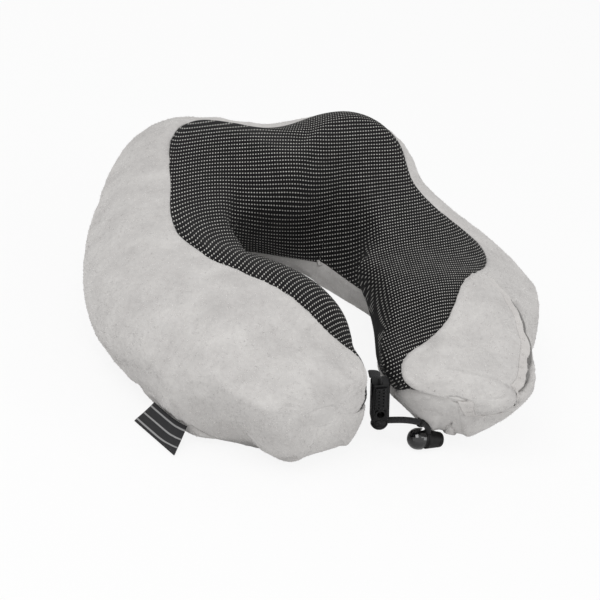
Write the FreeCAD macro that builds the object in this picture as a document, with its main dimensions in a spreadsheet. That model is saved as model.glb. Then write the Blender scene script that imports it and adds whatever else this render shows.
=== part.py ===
import FreeCAD, Part
import Sketcher
import math
import os

from FreeCAD import Placement, Rotation, Vector

# U-shaped neck pillow: a moulded foam roll in a liner and a sewn cover, with a phone pocket on the
# right lobe, a zip under the back, a woven tab, a clasp hung in the front gap, and a cord from the
# clasp to a sprung toggle. Millimetres. X runs across the pillow, +Y to the nape, +Z up; the origin
# is the middle of the base on the surface that the pillow lies on.

doc = FreeCAD.newDocument("neck_pillow")
sheet = doc.addObject("Spreadsheet::Sheet", "sizes")

# ---------------------------------------------------------------------------- driving sizes

# Six stations along each half of the roll, from the middle of the back to the lobe's tip.
STATIONS = ["nape", "hump", "corner", "side", "lobe", "tip"]

# The nape's values serve both halves.
NAPE = {
    "across": 0, "along": 94, "half": 44, "ridge": 99, "waist": 59, "lean": -22,
    "neck_foot": -22, "outer_foot": 0, "top_seam": 68, "neck_seam": 56,
}

# Where the roll's middle lies in plan, its half thickness, the heights of its ridge and of its
# widest level, how far the ridge, the foot on the neck's side and the outer foot lean outwards
# over LEAN_RISE of height, and the knit panel's two seams: the top one as an angle round the
# roll (0 faces outwards, 90 up, 180 the neck), the neck's one as an angle below the level that
# faces the neck. The seams have one value more, at the lobe's round end.
LEFT = {
    "across": [53, 85, 91, 67, 58],
    "along": [82, 37, -19, -78, -106],
    "half": [41, 40, 53, 58, 48],
    "ridge": [100, 88, 86, 89, 68],
    "waist": [62, 50, 42, 49, 54],
    "lean": [4, -4, 4, -6, 21],
    "neck_foot": [-6, 13, 1, -8, 32],
    "outer_foot": [-4, 14, 2, -9, 21],
    "top_seam": [71, 84, 85, 93, 150, 225],
    "neck_seam": [40, 20, 10, 20, 25, 26],
}
RIGHT = {
    "across": [53, 74, 86, 64, 48],
    "along": [84, 46, -7, -64, -102],
    "half": [31, 33, 57, 46, 44],
    "ridge": [105, 87, 76, 82, 66],
    "waist": [60, 52, 50, 52, 50],
    "lean": [18, 7, -11, -4, 12],
    "neck_foot": [12, 8, -17, 2, -6],
    "outer_foot": [9, 11, -15, -16, -8],
    "top_seam": [56, 84, 62, 91, 124, 221],
    "neck_seam": [41, 37, 25, 35, 32, 10],
}

SIZES = [
    ("centre_across", 0.2, "middle of the finished width, in the stations' own frame"),
    ("centre_along", -1.4, ""),
    ("left_reach", 31, "how far the left lobe's round end runs on past its tip station"),
    ("left_droop", -8, "rise of the left end's waist"),
    ("left_blunt", 0.65, "power of the left end's narrowing; less is blunter"),
    ("left_tuck", -0.1, "extra narrowing of the left end's foot"),
    ("left_lift", 0, "share by which the left foot is lifted at the tip"),
    ("left_heel", 0, "how far the left foot draws outwards on the neck's side at the tip"),
    ("right_reach", 30, "the same for the right lobe"),
    ("right_droop", -2, ""),
    ("right_blunt", 0.7, ""),
    ("right_tuck", 0.7, ""),
    ("right_lift", 0.18, ""),
    ("right_heel", 16, ""),
    ("side_power", 1.04, "roundness of the roll sideways"),
    ("crown_power", 0.89, "roundness above the waist"),
    ("base_power", 1.05, "roundness below the waist"),
    ("lean_rise", 60, "height over which a lean is measured"),
    ("sag", 4.5, "how far the round foot would reach below the flat it rests on"),
    ("last_turn", 86, "degrees of the round end that the skins are drawn to"),
    ("cover_thick", 2, "plush with its backing, and knit with its spacer"),
    ("liner_depth", 2.3, "outer face of the liner below the cover's face"),
    ("liner_thick", 0.8, ""),
    ("foam_depth", 3.4, "outer face of the foam below the cover's face"),
    ("seam_gap", 0.4, "groove between two cover panels"),
    ("base_seam", 315, "seam between the outer and the base panel, as an angle"),
    ("pocket_rise", 1.7, "pocket panel's face above the outer panel"),
    ("pocket_slip", 0.45, "room between the pocket panel and the outer panel"),
    ("hem_wide", 5, "width of the pocket's elastic hem"),
    ("zip_across", -9.7, "middle of the zip's arc"),
    ("zip_along", 39.4, ""),
    ("zip_bend", 67, "radius of the zip's arc"),
    ("zip_first", 48.5, "angles between which the zip runs, from +X"),
    ("zip_last", 121.5, ""),
    ("recess_first", 46.5, "angles of the slot in the base panel, liner and foam"),
    ("recess_last", 123.5, ""),
    ("slot_half", 3.9, "half width of the slot in the base panel"),
    ("bed_half", 5.3, "half width of the zip's bed in liner and foam"),
    ("bed_roof", 4.9, "height of the bed's roof"),
    ("tape_low", 2.6, "tape's lower face"),
    ("tape_thick", 0.5, ""),
    ("tape_outer", 4.9, "tape's far edge from the arc"),
    ("tape_inner", 2.15, "tape's near edge from the arc"),
    ("coil_off", 1.35, "coil's middle from the arc"),
    ("coil_round", 0.7, "radius of a coil"),
    ("coil_level", 2.85, "height of the coils' middle"),
    ("stop_half", 2, "half width of an end stop"),
    ("stop_turn", 1, "angle that an end stop covers"),
    ("slider_start", 55.5, "angle of the slider when the zip is shut"),
    ("slider_long", 8, ""),
    ("slider_half", 3.5, ""),
    ("slider_low", 1.4, "slider's lower plate, lower face"),
    ("slider_plate", 0.6, "thickness of the slider's plates"),
    ("slider_deep", 2.9, "height over both plates"),
    ("divider_half", 0.45, "half width of the post between the coils"),
    ("ear_inner", 1.6, "slider's ears, from the middle"),
    ("ear_thick", 0.6, ""),
    ("ear_low", 0.35, ""),
    ("pin_place", 3.4, "pull's pin from the slider's middle"),
    ("pin_level", 0.8, ""),
    ("pin_round", 0.25, ""),
    ("pin_slack", 0.07, ""),
    ("pull_half", 1.5, ""),
    ("pull_long", 11, ""),
    ("pull_thick", 1, ""),
    ("tab_wide", 32, "woven tab along the seam"),
    ("tab_out", 16, "woven tab from the seam"),
    ("tab_thick", 1.2, "woven tab, folded double"),
    ("clasp_x", 8.1, "middle of the clasp's foot"),
    ("clasp_y", -103.6, ""),
    ("clasp_z", 12.7, ""),
    ("clasp_lean", 14.5, "degrees that the clasp leans to the left lobe"),
    ("clasp_turn", 15, "degrees that its face is turned to the left"),
    ("clasp_wide", 10.5, ""),
    ("clasp_deep", 9, ""),
    ("clasp_base", 7.2, "where the clasp's body starts above its foot"),
    ("clasp_tall", 25.8, "clasp's body"),
    ("clasp_corner", 2.2, ""),
    ("window_wide", 7.2, "opening for the button"),
    ("window_tall", 15.8, ""),
    ("window_low", 8.6, "lower edge of the opening above the body's base"),
    ("window_deep", 4.5, ""),
    ("button_slack", 0.2, "round the button"),
    ("button_proud", 1.2, "button's crown past the face"),
    ("button_back", 2.3, "button's back from the clasp's middle"),
    ("press_travel", 1.6, "button's stroke"),
    ("dimple_round", 0.5, ""),
    ("dimple_deep", 0.45, ""),
    ("dimple_pitch", 2.3, ""),
    ("spring_seat", 2.2, "depth and radius of the spring's seat"),
    ("spring_round", 1.7, "spring's coil radius"),
    ("spring_wire", 0.22, "spring's wire radius"),
    ("eye_level", 5.3, "eye above the body's base"),
    ("eye_round", 2.2, ""),
    ("collar_round", 3.3, ""),
    ("collar_proud", 0.7, ""),
    ("loop_slot", 1.9, "slot for the webbing"),
    ("loop_wide", 7, "webbing's width"),
    ("loop_thick", 1.4, ""),
    ("foot_round", 4.6, "clasp's foot"),
    ("foot_tall", 7, ""),
    ("cord_level", 4, "cord's hole above the foot's end"),
    ("cord_round", 1.9, "cord's radius"),
    ("cord_slack", 0.1, ""),
    ("peak_x", 25.8, "cord's highest corner, at the right lobe"),
    ("peak_y", -110, ""),
    ("peak_z", 20.6, ""),
    ("toggle_x", 32.8, "middle of the toggle's head"),
    ("toggle_y", -108.7, ""),
    ("toggle_z", 6.4, ""),
    ("toggle_dip", 6.6, "degrees that the toggle's tail dips, because it lies on its flare"),
    ("toggle_turn", 2.2, ""),
    ("head_round", 6.3, "toggle's domed head"),
    ("head_skirt", 2, "its skirt past the middle"),
    ("head_wall", 1, ""),
    ("barrel_nose", 1.2, "barrel's front end from the head's middle"),
    ("barrel_neck", 4.9, "radius of the barrel's nose, inside the skirt"),
    ("barrel_shoulder", 5.2, ""),
    ("barrel_front", 5.7, "barrel's radii at its shoulder and tail"),
    ("barrel_tail", 4.5, ""),
    ("barrel_end", 15.8, ""),
    ("stem_round", 3.4, "plunger's stem"),
    ("stem_slack", 0.1, ""),
    ("stem_end", 10.2, ""),
    ("bore_end", 14.2, "end of the barrel's bore"),
    ("cross_place", 4.9, "cord's hole from the head's middle"),
    ("cross_slack", 0.3, "round the cord in the toggle"),
    ("plunger_travel", 2.5, ""),
]


def fill_sheet():
    line = 1
    entries = []
    for quantity, value in NAPE.items():
        entries.append(("nape_" + quantity, value, ""))
    for side, table in (("left", LEFT), ("right", RIGHT)):
        for quantity, values in table.items():
            for station, value in zip(STATIONS[1:] + ["end"], values):
                entries.append((side + "_" + station + "_" + quantity, value, ""))
    for name, value, note in entries + SIZES:
        sheet.set("A" + str(line), name)
        sheet.set("B" + str(line), str(value))
        sheet.set("C" + str(line), note)
        sheet.setAlias("B" + str(line), name)
        line += 1


fill_sheet()
doc.recompute()


def size(name):
    return float(sheet.get(name))


# ---------------------------------------------------------------------------- the roll's shape

def station_row(side, quantity):
    names = STATIONS[1:]
    if quantity in ("top_seam", "neck_seam"):
        names = names + ["end"]
    values = [size("nape_" + quantity)]
    for station in names:
        values.append(size(side + "_" + station + "_" + quantity))
    return values


ROWS = {}
for a_side in ("left", "right"):
    for a_quantity in NAPE:
        ROWS[a_side, a_quantity] = station_row(a_side, a_quantity)


def smooth(side, quantity, run):
    """Value and slope at a run along one half, by a curve through the stations."""
    values = ROWS[side, quantity]
    other = ROWS["right" if side == "left" else "left", quantity]
    before = -other[1] if quantity == "across" else other[1]
    row = [before] + values + [2 * values[-1] - values[-2]]
    place = min(int(run), len(values) - 2)
    f = run - place
    a, b, c, d = row[place:place + 4]
    square = 2 * a - 5 * b + 4 * c - d
    cube = 3 * b - a - 3 * c + d
    value = 0.5 * (2 * b + (c - a) * f + square * f * f + cube * f ** 3)
    slope = 0.5 * ((c - a) + 2 * square * f + 3 * cube * f * f)
    return value, slope


class Hoop:
    """A cross-section of the roll: run 0 is the nape, 5 a lobe's tip station, 6 its very end."""

    def __init__(self, side, run):
        self.sign = 1 if side == "right" else -1
        self.side = side
        self.run = run
        m = min(run, 5.0)
        self.x, slope_x = smooth(side, "across", m)
        self.y, slope_y = smooth(side, "along", m)
        length = math.hypot(slope_x, slope_y)
        self.tx = slope_x / length
        self.ty = slope_y / length
        self.half = smooth(side, "half", m)[0]
        self.lean = smooth(side, "lean", m)[0]
        self.neck_foot = smooth(side, "neck_foot", m)[0]
        self.outer_foot = smooth(side, "outer_foot", m)[0]
        self.top_seam = smooth(side, "top_seam", run)[0]
        self.neck_seam = 180 + smooth(side, "neck_seam", run)[0]
        turn = math.radians(max(run - 5.0, 0) * 90)
        self.out = math.sin(turn)
        drop = size(side + "_droop") * (1 - math.cos(turn))
        self.waist = smooth(side, "waist", m)[0] + drop
        self.rise = smooth(side, "ridge", m)[0] + drop - self.waist
        self.upper = math.cos(turn) ** size(side + "_blunt")
        lift = size(side + "_lift") * max(m - 4, 0) ** 2
        self.lower = self.upper * (1 - size(side + "_tuck") * self.out ** 2) * (1 - lift)
        self.heel = size(side + "_heel") * min(max(run - 4, 0), 1) ** 1.5

    def flat(self, depth):
        """Half angle, from straight down, of the flat that the roll rests on."""
        share = (self.waist - depth) / (self.waist + size("sag") - depth)
        return 90 - math.degrees(math.asin(share ** (1 / size("base_power"))))

    def point(self, angle, depth):
        """Point at an angle round the roll, at a depth below the cover's face."""
        c = math.cos(math.radians(angle))
        q = math.sin(math.radians(angle))
        if abs(c) < 1e-9:
            c = 0.0
        if abs(q) < 1e-9:
            q = 0.0
        spread = self.upper
        if q >= 0:
            z = self.waist + self.upper * (self.rise - depth) * q ** size("crown_power")
            lean = self.lean
        else:
            drop = (self.waist + size("sag") - depth) * (-q) ** size("base_power")
            z = self.waist - self.lower * min(drop, self.waist - depth)
            blend = (-q) ** 1.5
            spread = self.upper * (1 - blend) + self.lower * blend
            lean = self.outer_foot if c > 0 else self.neck_foot
        bulge = math.copysign(abs(c) ** size("side_power"), c) if c else 0.0
        n = spread * (self.half - depth) * bulge + lean * (z - self.waist) / size("lean_rise")
        if q < 0 and c < 0:
            n += self.heel * ((self.waist - z) / self.waist) ** 3
        reach = (size(self.side + "_reach") - depth) * self.out
        x = self.x + self.tx * reach - self.ty * n
        y = self.y + self.ty * reach + self.tx * n
        return Vector(x * self.sign - size("centre_across"), y - size("centre_along"), z)

    def turn(self, angle, length):
        """The angle that a length along the face covers, at an angle round the roll."""
        step = 0.5
        span = (self.point(angle + step, 0) - self.point(angle - step, 0)).Length
        return length / max(span / (2 * step), 0.05)


END = 5 + size("last_turn") / 90
TURNS = [5 + a / 90 for a in (8, 16, 24, 33, 43, 53, 63, 72, 80)]
HALF_RUNS = [0.5 * i for i in range(1, 8)] + [3.75, 4.0, 4.25, 4.5, 4.75, 5.0] + TURNS + [END]


def whole_ring(left_end, right_end):
    """Hoops from one lobe's end, over the nape, to the other's."""
    left = [run for run in HALF_RUNS if run < left_end - 0.03] + [left_end]
    right = [run for run in HALF_RUNS if run < right_end - 0.03] + [right_end]
    hoops = [Hoop("left", run) for run in reversed(left)]
    hoops.append(Hoop("right", 0.0))
    hoops += [Hoop("right", run) for run in right]
    return hoops


def place_of(hoop):
    return hoop.run * hoop.sign


# ---------------------------------------------------------------------------- skins

def through(points, places):
    """Poles, knots and multiplicities of the curve through the points at the given places."""
    curve = Part.BSplineCurve()
    curve.interpolate(Points=points, Parameters=places)
    return curve.getPoles(), curve.getKnots(), curve.getMultiplicities(), curve.Degree


def patch(rows, places):
    """Smooth surface through rows of points; each row has one place along the roll."""
    count = len(rows[0])
    steps = [float(j) for j in range(count)]
    across = [through(row, steps) for row in rows]
    v_knots, v_mults, v_degree = across[0][1], across[0][2], across[0][3]
    columns = []
    for j in range(len(across[0][0])):
        columns.append(through([row[0][j] for row in across], places))
    u_knots, u_mults, u_degree = columns[0][1], columns[0][2], columns[0][3]
    poles = [[column[0][i] for column in columns] for i in range(len(columns[0][0]))]
    surface = Part.BSplineSurface()
    surface.buildFromPolesMultsKnots(poles, u_mults, v_mults, u_knots, v_knots,
                                     False, False, u_degree, v_degree)
    return surface


def bridge(first, second):
    """Straight surface between two like curves."""
    surface = Part.BSplineSurface()
    surface.buildFromPolesMultsKnots(
        [first.getPoles(), second.getPoles()], [2, 2], first.getMultiplicities(),
        [0.0, 1.0], first.getKnots(), False, False, 1, first.Degree)
    return surface


def solid_from(surfaces, more_faces=()):
    faces = [surface.toShape() for surface in surfaces] + list(more_faces)
    shell = Part.Shell(faces)
    shell.sewShape()
    solid = Part.Solid(shell)
    if solid.Volume < 0:
        solid.reverse()
    return solid


def strip_rows(hoops, low, high, count, depth):
    rows = []
    for hoop in hoops:
        start = low(hoop)
        step = (high(hoop) - start) / (count - 1)
        rows.append([hoop.point(start + step * j, depth) for j in range(count)])
    return rows


def end_cap(skins, end):
    """Flat face across the end of a row of skins, and the chord that closes it."""
    edges = [skin.uIso(skin.bounds()[end]).toShape() for skin in skins]
    first = skins[0].value(skins[0].bounds()[end], skins[0].bounds()[2])
    last = skins[-1].value(skins[-1].bounds()[end], skins[-1].bounds()[3])
    chord = Part.LineSegment(last, first).toShape()
    return Part.Face(Part.Wire(edges + [chord])), chord


def slab(hoops, face_strips, back_strips, capped=False):
    """Skin between two sets of strips that have the same layout along the same hoops."""
    places = [place_of(hoop) for hoop in hoops]
    faces = [patch(rows, places) for rows in face_strips]
    backs = [patch(rows, places) for rows in back_strips]
    walls = []
    ends = []
    if capped:
        for end in (0, 1):
            face_cap, face_chord = end_cap(faces, end)
            back_cap, back_chord = end_cap(backs, end)
            ends += [face_cap, back_cap, Part.makeRuledSurface(face_chord, back_chord)]
    else:
        for face, back in zip(faces, backs):
            u0, u1, v0, v1 = face.bounds()
            walls.append(bridge(face.uIso(u0), back.uIso(u0)))
            walls.append(bridge(face.uIso(u1), back.uIso(u1)))
    v_start = faces[0].bounds()[2]
    v_end = faces[-1].bounds()[3]
    walls.append(bridge(faces[0].vIso(v_start), backs[0].vIso(v_start)))
    walls.append(bridge(faces[-1].vIso(v_end), backs[-1].vIso(v_end)))
    return solid_from(faces + backs + walls, ends)


def flat_start(depth):
    return lambda hoop: 270 - hoop.flat(depth)


def flat_end(depth):
    return lambda hoop: 270 + hoop.flat(depth)


def plug(depth):
    """The whole roll as one solid, at a depth below the cover's face."""
    hoops = whole_ring(END, END)
    places = [place_of(hoop) for hoop in hoops]
    round_start = lambda hoop: -90 + hoop.flat(depth)
    round_rows = strip_rows(hoops, round_start, flat_start(depth), 31, depth)
    flat_rows = strip_rows(hoops, flat_start(depth), flat_end(depth), 2, depth)
    flat_rows = [[a[-1], b[0]] for a, b in zip(round_rows, round_rows)]
    skin = patch(round_rows, places)
    base = patch(flat_rows, places)
    caps = []
    for u in (skin.bounds()[0], skin.bounds()[1]):
        wire = Part.Wire([skin.uIso(u).toShape(), base.uIso(u).toShape()])
        caps.append(Part.Face(wire))
    return solid_from([skin, base], caps)


def zip_cutter(half, roof):
    """Ring piece under the nape that makes room for the zip."""
    bend = size("zip_bend")
    corner = Vector(bend - half, 0, -5)
    outline = Part.makePolygon([corner, corner + Vector(2 * half, 0, 0),
                                corner + Vector(2 * half, 0, roof + 5),
                                corner + Vector(0, 0, roof + 5), corner])
    sweep = size("recess_last") - size("recess_first")
    solid = Part.Face(outline).revolve(Vector(0, 0, 0), Vector(0, 0, 1), sweep)
    solid.Placement = Placement(Vector(size("zip_across"), size("zip_along"), 0),
                                Rotation(Vector(0, 0, 1), size("recess_first")))
    return solid


def keep(label, shape, placement=None):
    """Put a finished shape into the document as its own object."""
    part = doc.addObject("Part::Feature", label)
    part.Label = label
    part.Shape = shape
    if placement is not None:
        part.Placement = placement
    return part


FINISHED = []

# Foam and liner.
bed = zip_cutter(size("bed_half"), size("bed_roof"))
foam = plug(size("foam_depth"))
FINISHED.append(keep("foam_core", foam.cut(bed)))
liner = plug(size("liner_depth")).cut(plug(size("liner_depth") + size("liner_thick")))
FINISHED.append(keep("inner_liner", liner.cut(bed)))

# Cover panels.
THICK = size("cover_thick")
GAP = size("seam_gap") / 2


def upper_seam(hoop):
    return min(hoop.top_seam, hoop.neck_seam)


def neck_low(hoop):
    return hoop.top_seam + hoop.turn(hoop.top_seam, GAP)


def neck_high(hoop):
    return hoop.neck_seam - hoop.turn(hoop.neck_seam, GAP)


def outer_low(hoop):
    angle = size("base_seam") - 360
    return angle + hoop.turn(angle, GAP)


def outer_high(hoop):
    angle = upper_seam(hoop)
    return angle - hoop.turn(angle, GAP)


def base_low(hoop):
    return hoop.neck_seam + hoop.turn(hoop.neck_seam, GAP)


def base_high(hoop):
    angle = size("base_seam")
    return angle - hoop.turn(angle, GAP)


def run_where_narrow(side, width):
    """The run at which the knit panel has narrowed to a width in degrees."""
    low, high = 5.0, 5.9
    for _ in range(30):
        middle = (low + high) / 2
        hoop = Hoop(side, middle)
        if hoop.neck_seam - hoop.top_seam > width:
            low = middle
        else:
            high = middle
    return low


neck_hoops = whole_ring(run_where_narrow("left", 9), run_where_narrow("right", 9))
neck = slab(neck_hoops,
            [strip_rows(neck_hoops, neck_low, neck_high, 15, 0)],
            [strip_rows(neck_hoops, neck_low, neck_high, 15, THICK)])
FINISHED.append(keep("neck_panel", neck))

cover_hoops = whole_ring(END, END)
outer = slab(cover_hoops,
             [strip_rows(cover_hoops, outer_low, outer_high, 17, 0)],
             [strip_rows(cover_hoops, outer_low, outer_high, 17, THICK)], capped=True)
FINISHED.append(keep("outer_panel", outer))

base_hoops = cover_hoops


def base_strips(depth):
    return [strip_rows(base_hoops, base_low, flat_start(depth), 6, depth),
            strip_rows(base_hoops, flat_start(depth), flat_end(depth), 2, depth),
            strip_rows(base_hoops, flat_end(depth), base_high, 5, depth)]


def joined(strips):
    """Let the flat strip share its edges' points with its neighbours."""
    for rows, before, after in zip(strips[1], strips[0], strips[2]):
        rows[0] = before[-1]
        rows[-1] = after[0]
    return strips


base = slab(base_hoops, joined(base_strips(0)), joined(base_strips(THICK)), capped=True)
slot = zip_cutter(size("slot_half"), size("bed_roof"))
FINISHED.append(keep("base_panel", base.cut(slot)))

# Pocket on the right lobe: its mouth runs from the top seam down the outer side.
MOUTH = [(3.8, 72), (3.9, 50), (4.0, 39), (4.2, 32), (4.5, 35), (4.9, 38), (5.3, 36),
         (5.55, 20), (5.75, -6), (6.0, -42)]


def mouth(hoop):
    for (run0, angle0), (run1, angle1) in zip(MOUTH, MOUTH[1:]):
        if hoop.run <= run1:
            share = (hoop.run - run0) / (run1 - run0)
            share = share * share * (3 - 2 * share)
            return angle0 + (angle1 - angle0) * share
    return MOUTH[-1][1]


def hem_edge(hoop):
    return mouth(hoop) + hoop.turn(mouth(hoop), size("hem_wide"))


def pocket_edge(hoop):
    return hem_edge(hoop) + hoop.turn(hem_edge(hoop), GAP)


POCKET_RUNS = [3.84, 3.92, 4.0, 4.1, 4.2, 4.35, 4.5, 4.7, 4.9, 5.1, 5.25, 5.4, 5.52, 5.62, 5.72,
               5.82, 5.9, END]
pocket_hoops = [Hoop("right", run) for run in POCKET_RUNS]
OVER = -size("pocket_rise")
UNDER = -size("pocket_slip")
pocket = slab(pocket_hoops,
              [strip_rows(pocket_hoops, pocket_edge, outer_high, 13, OVER)],
              [strip_rows(pocket_hoops, pocket_edge, outer_high, 13, UNDER)])
FINISHED.append(keep("pocket_panel", pocket))
hem = slab(pocket_hoops,
           [strip_rows(pocket_hoops, mouth, hem_edge, 3, OVER)],
           [strip_rows(pocket_hoops, mouth, hem_edge, 3, UNDER)])
FINISHED.append(keep("pocket_hem", hem))


# ---------------------------------------------------------------------------- helpers for features

def point_at(x, y, z):
    return Placement(Vector(x, y, z), Rotation())


def new_body(label, placement=None):
    part = doc.addObject("PartDesign::Body", label)
    part.Label = label
    if placement is not None:
        part.Placement = placement
    return part


def plane_of(part, role):
    for feature in part.Origin.OriginFeatures:
        if feature.Role == role:
            return feature
    raise ValueError(role)


def new_sketch(part, role, label, offset=None):
    """Sketch on an origin plane of its own body; offset is an expression along the normal."""
    sketch = part.newObject("Sketcher::SketchObject", label)
    sketch.AttachmentSupport = [(plane_of(part, role), "")]
    sketch.MapMode = "FlatFace"
    if offset is not None:
        sketch.setExpression("AttachmentOffset.Base.z", offset)
    return sketch


def hold(sketch, element, vertex, axis, text):
    """Tie one coordinate of a point to an expression."""
    if text == "0":
        line = -2 if axis == "X" else -1
        sketch.addConstraint(Sketcher.Constraint("PointOnObject", element, vertex, line))
        return
    kind = "Distance" + axis
    number = sketch.addConstraint(Sketcher.Constraint(kind, -1, 1, element, vertex, 1.0))
    sketch.setExpression("Constraints[" + str(number) + "]", text)


def outline(sketch, corners):
    """Closed outline through corners given as pairs of expressions."""
    count = len(corners)
    first = len(sketch.Geometry)
    rough = []
    for i in range(count):
        turn = 2 * math.pi * i / count
        rough.append(Vector(10 * math.cos(turn), 10 * math.sin(turn), 0))
    for i in range(count):
        sketch.addGeometry(Part.LineSegment(rough[i], rough[(i + 1) % count]), False)
    for i in range(count):
        after = first + (i + 1) % count
        sketch.addConstraint(Sketcher.Constraint("Coincident", first + i, 2, after, 1))
    for i, (across, up) in enumerate(corners):
        hold(sketch, first + i, 1, "X", across)
        hold(sketch, first + i, 1, "Y", up)


def rectangle(sketch, left, right, low, high):
    outline(sketch, [(left, low), (right, low), (right, high), (left, high)])


def ring(sketch, across, up, radius):
    number = sketch.addGeometry(Part.Circle(Vector(1, 1, 0), Vector(0, 0, 1), 1), False)
    hold(sketch, number, 3, "X", across)
    hold(sketch, number, 3, "Y", up)
    limit = sketch.addConstraint(Sketcher.Constraint("Radius", number, 1.0))
    sketch.setExpression("Constraints[" + str(limit) + "]", radius)


def extend(part, kind, label, sketch, length, backwards=False):
    feature = part.newObject("PartDesign::" + kind, label)
    feature.Profile = sketch
    feature.setExpression("Length", length)
    feature.Reversed = backwards
    sketch.Visibility = False
    doc.recompute()
    part.Tip = feature
    return feature


def spin(part, kind, label, sketch, axis, angle="360"):
    feature = part.newObject("PartDesign::" + kind, label)
    feature.Profile = sketch
    feature.ReferenceAxis = (sketch, [axis])
    feature.setExpression("Angle", angle)
    sketch.Visibility = False
    doc.recompute()
    part.Tip = feature
    return feature


def soften(part, label, radius, choose):
    """Fillet the edges of the body's last feature that the chooser picks."""
    base_feature = part.Tip
    names = []
    for number, edge in enumerate(base_feature.Shape.Edges):
        if choose(edge):
            names.append("Edge" + str(number + 1))
    feature = part.newObject("PartDesign::Fillet", label)
    feature.Base = (base_feature, names)
    feature.setExpression("Radius", radius)
    doc.recompute()
    part.Tip = feature
    return feature


def took_away(part, before, least):
    """A cut must remove at least this volume."""
    removed = before - part.Shape.Volume
    if removed < least:
        raise ValueError(part.Label + " cut removed " + str(round(removed, 2)))
    return part.Shape.Volume


# ---------------------------------------------------------------------------- zip

def zip_frame(angle):
    return Placement(Vector(size("zip_across"), size("zip_along"), 0),
                     Rotation(Vector(0, 0, 1), angle))


ZIP_SWEEP = "sizes.zip_last - sizes.zip_first"


def zip_strip(label, near, far):
    part = new_body(label, zip_frame(size("zip_first")))
    sketch = new_sketch(part, "XZ_Plane", label + "_section")
    rectangle(sketch, near, far, "sizes.tape_low", "sizes.tape_low + sizes.tape_thick")
    spin(part, "Revolution", label + "_sweep", sketch, "V_Axis", ZIP_SWEEP)
    FINISHED.append(part)


zip_strip("zip_tape_front", "sizes.zip_bend - sizes.tape_outer", "sizes.zip_bend - sizes.tape_inner")
zip_strip("zip_tape_rear", "sizes.zip_bend + sizes.tape_inner", "sizes.zip_bend + sizes.tape_outer")


def zip_coil(label, middle):
    part = new_body(label, zip_frame(size("zip_first") + size("stop_turn") + 0.1))
    sketch = new_sketch(part, "XZ_Plane", label + "_section")
    ring(sketch, middle, "sizes.coil_level", "sizes.coil_round")
    spin(part, "Revolution", label + "_sweep", sketch, "V_Axis",
         ZIP_SWEEP + " - 2 * sizes.stop_turn - 0.2")
    FINISHED.append(part)


zip_coil("zip_coil_front", "sizes.zip_bend - sizes.coil_off")
zip_coil("zip_coil_rear", "sizes.zip_bend + sizes.coil_off")


def zip_stop(label, angle):
    part = new_body(label, zip_frame(angle))
    sketch = new_sketch(part, "XZ_Plane", label + "_section")
    rectangle(sketch, "sizes.zip_bend - sizes.stop_half", "sizes.zip_bend + sizes.stop_half",
              "sizes.coil_level - sizes.coil_round", "sizes.coil_level + sizes.coil_round")
    spin(part, "Revolution", label + "_sweep", sketch, "V_Axis", "sizes.stop_turn")
    soften(part, label + "_round", "0.3", lambda edge: edge.BoundBox.ZLength > 1)
    FINISHED.append(part)


zip_stop("zip_start_stop", size("zip_first"))
zip_stop("zip_end_stop", size("zip_last") - size("stop_turn"))


def slider_frame():
    """Middle of the slider on the floor: x outwards, y along its travel, z up."""
    turned = zip_frame(size("slider_start"))
    return turned.multiply(point_at(size("zip_bend"), 0, 0))


slider = new_body("zip_slider", slider_frame().multiply(point_at(0, size("slider_long") / 2, 0)))
sketch = new_sketch(slider, "XZ_Plane", "slider_section")
LOW = "sizes.slider_low"
LOW_TOP = "sizes.slider_low + sizes.slider_plate"
HIGH_LOW = "sizes.slider_low + sizes.slider_deep - sizes.slider_plate"
HIGH = "sizes.slider_low + sizes.slider_deep"
WIDE = "sizes.slider_half"
POST = "sizes.divider_half"
outline(sketch, [("-" + WIDE, LOW), (WIDE, LOW), (WIDE, LOW_TOP), (POST, LOW_TOP),
                 (POST, HIGH_LOW), (WIDE, HIGH_LOW), (WIDE, HIGH), ("-" + WIDE, HIGH),
                 ("-" + WIDE, HIGH_LOW), ("-" + POST, HIGH_LOW), ("-" + POST, LOW_TOP),
                 ("-" + WIDE, LOW_TOP)])
extend(slider, "Pad", "slider_body", sketch, "sizes.slider_long")
soften(slider, "slider_corners", "1.2",
       lambda edge: 0.5 < edge.BoundBox.ZLength < 0.7 and edge.BoundBox.XLength < 0.01
       and abs(edge.CenterOfMass.x) > size("slider_half") - 0.1)
for sign, name in (("", "outer"), ("-", "inner")):
    ear = new_sketch(slider, "YZ_Plane", "slider_ear_" + name, sign + "sizes.ear_inner")
    back = "sizes.pin_place - sizes.slider_long / 2"
    outline(ear, [(back + " - 0.6", "sizes.ear_low"), (back + " + 0.6", "sizes.ear_low"),
                  (back + " + 0.6", LOW + " + 0.1"), (back + " - 0.6", LOW + " + 0.1")])
    extend(slider, "Pad", "slider_ear_pad_" + name, ear, "sizes.ear_thick", sign == "-")
pin = new_sketch(slider, "YZ_Plane", "slider_pin", "-sizes.ear_inner - 0.1")
ring(pin, "sizes.pin_place - sizes.slider_long / 2", "sizes.pin_level", "sizes.pin_round")
extend(slider, "Pad", "slider_pin_pad", pin, "2 * sizes.ear_inner + 0.2")
FINISHED.append(slider)

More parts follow.
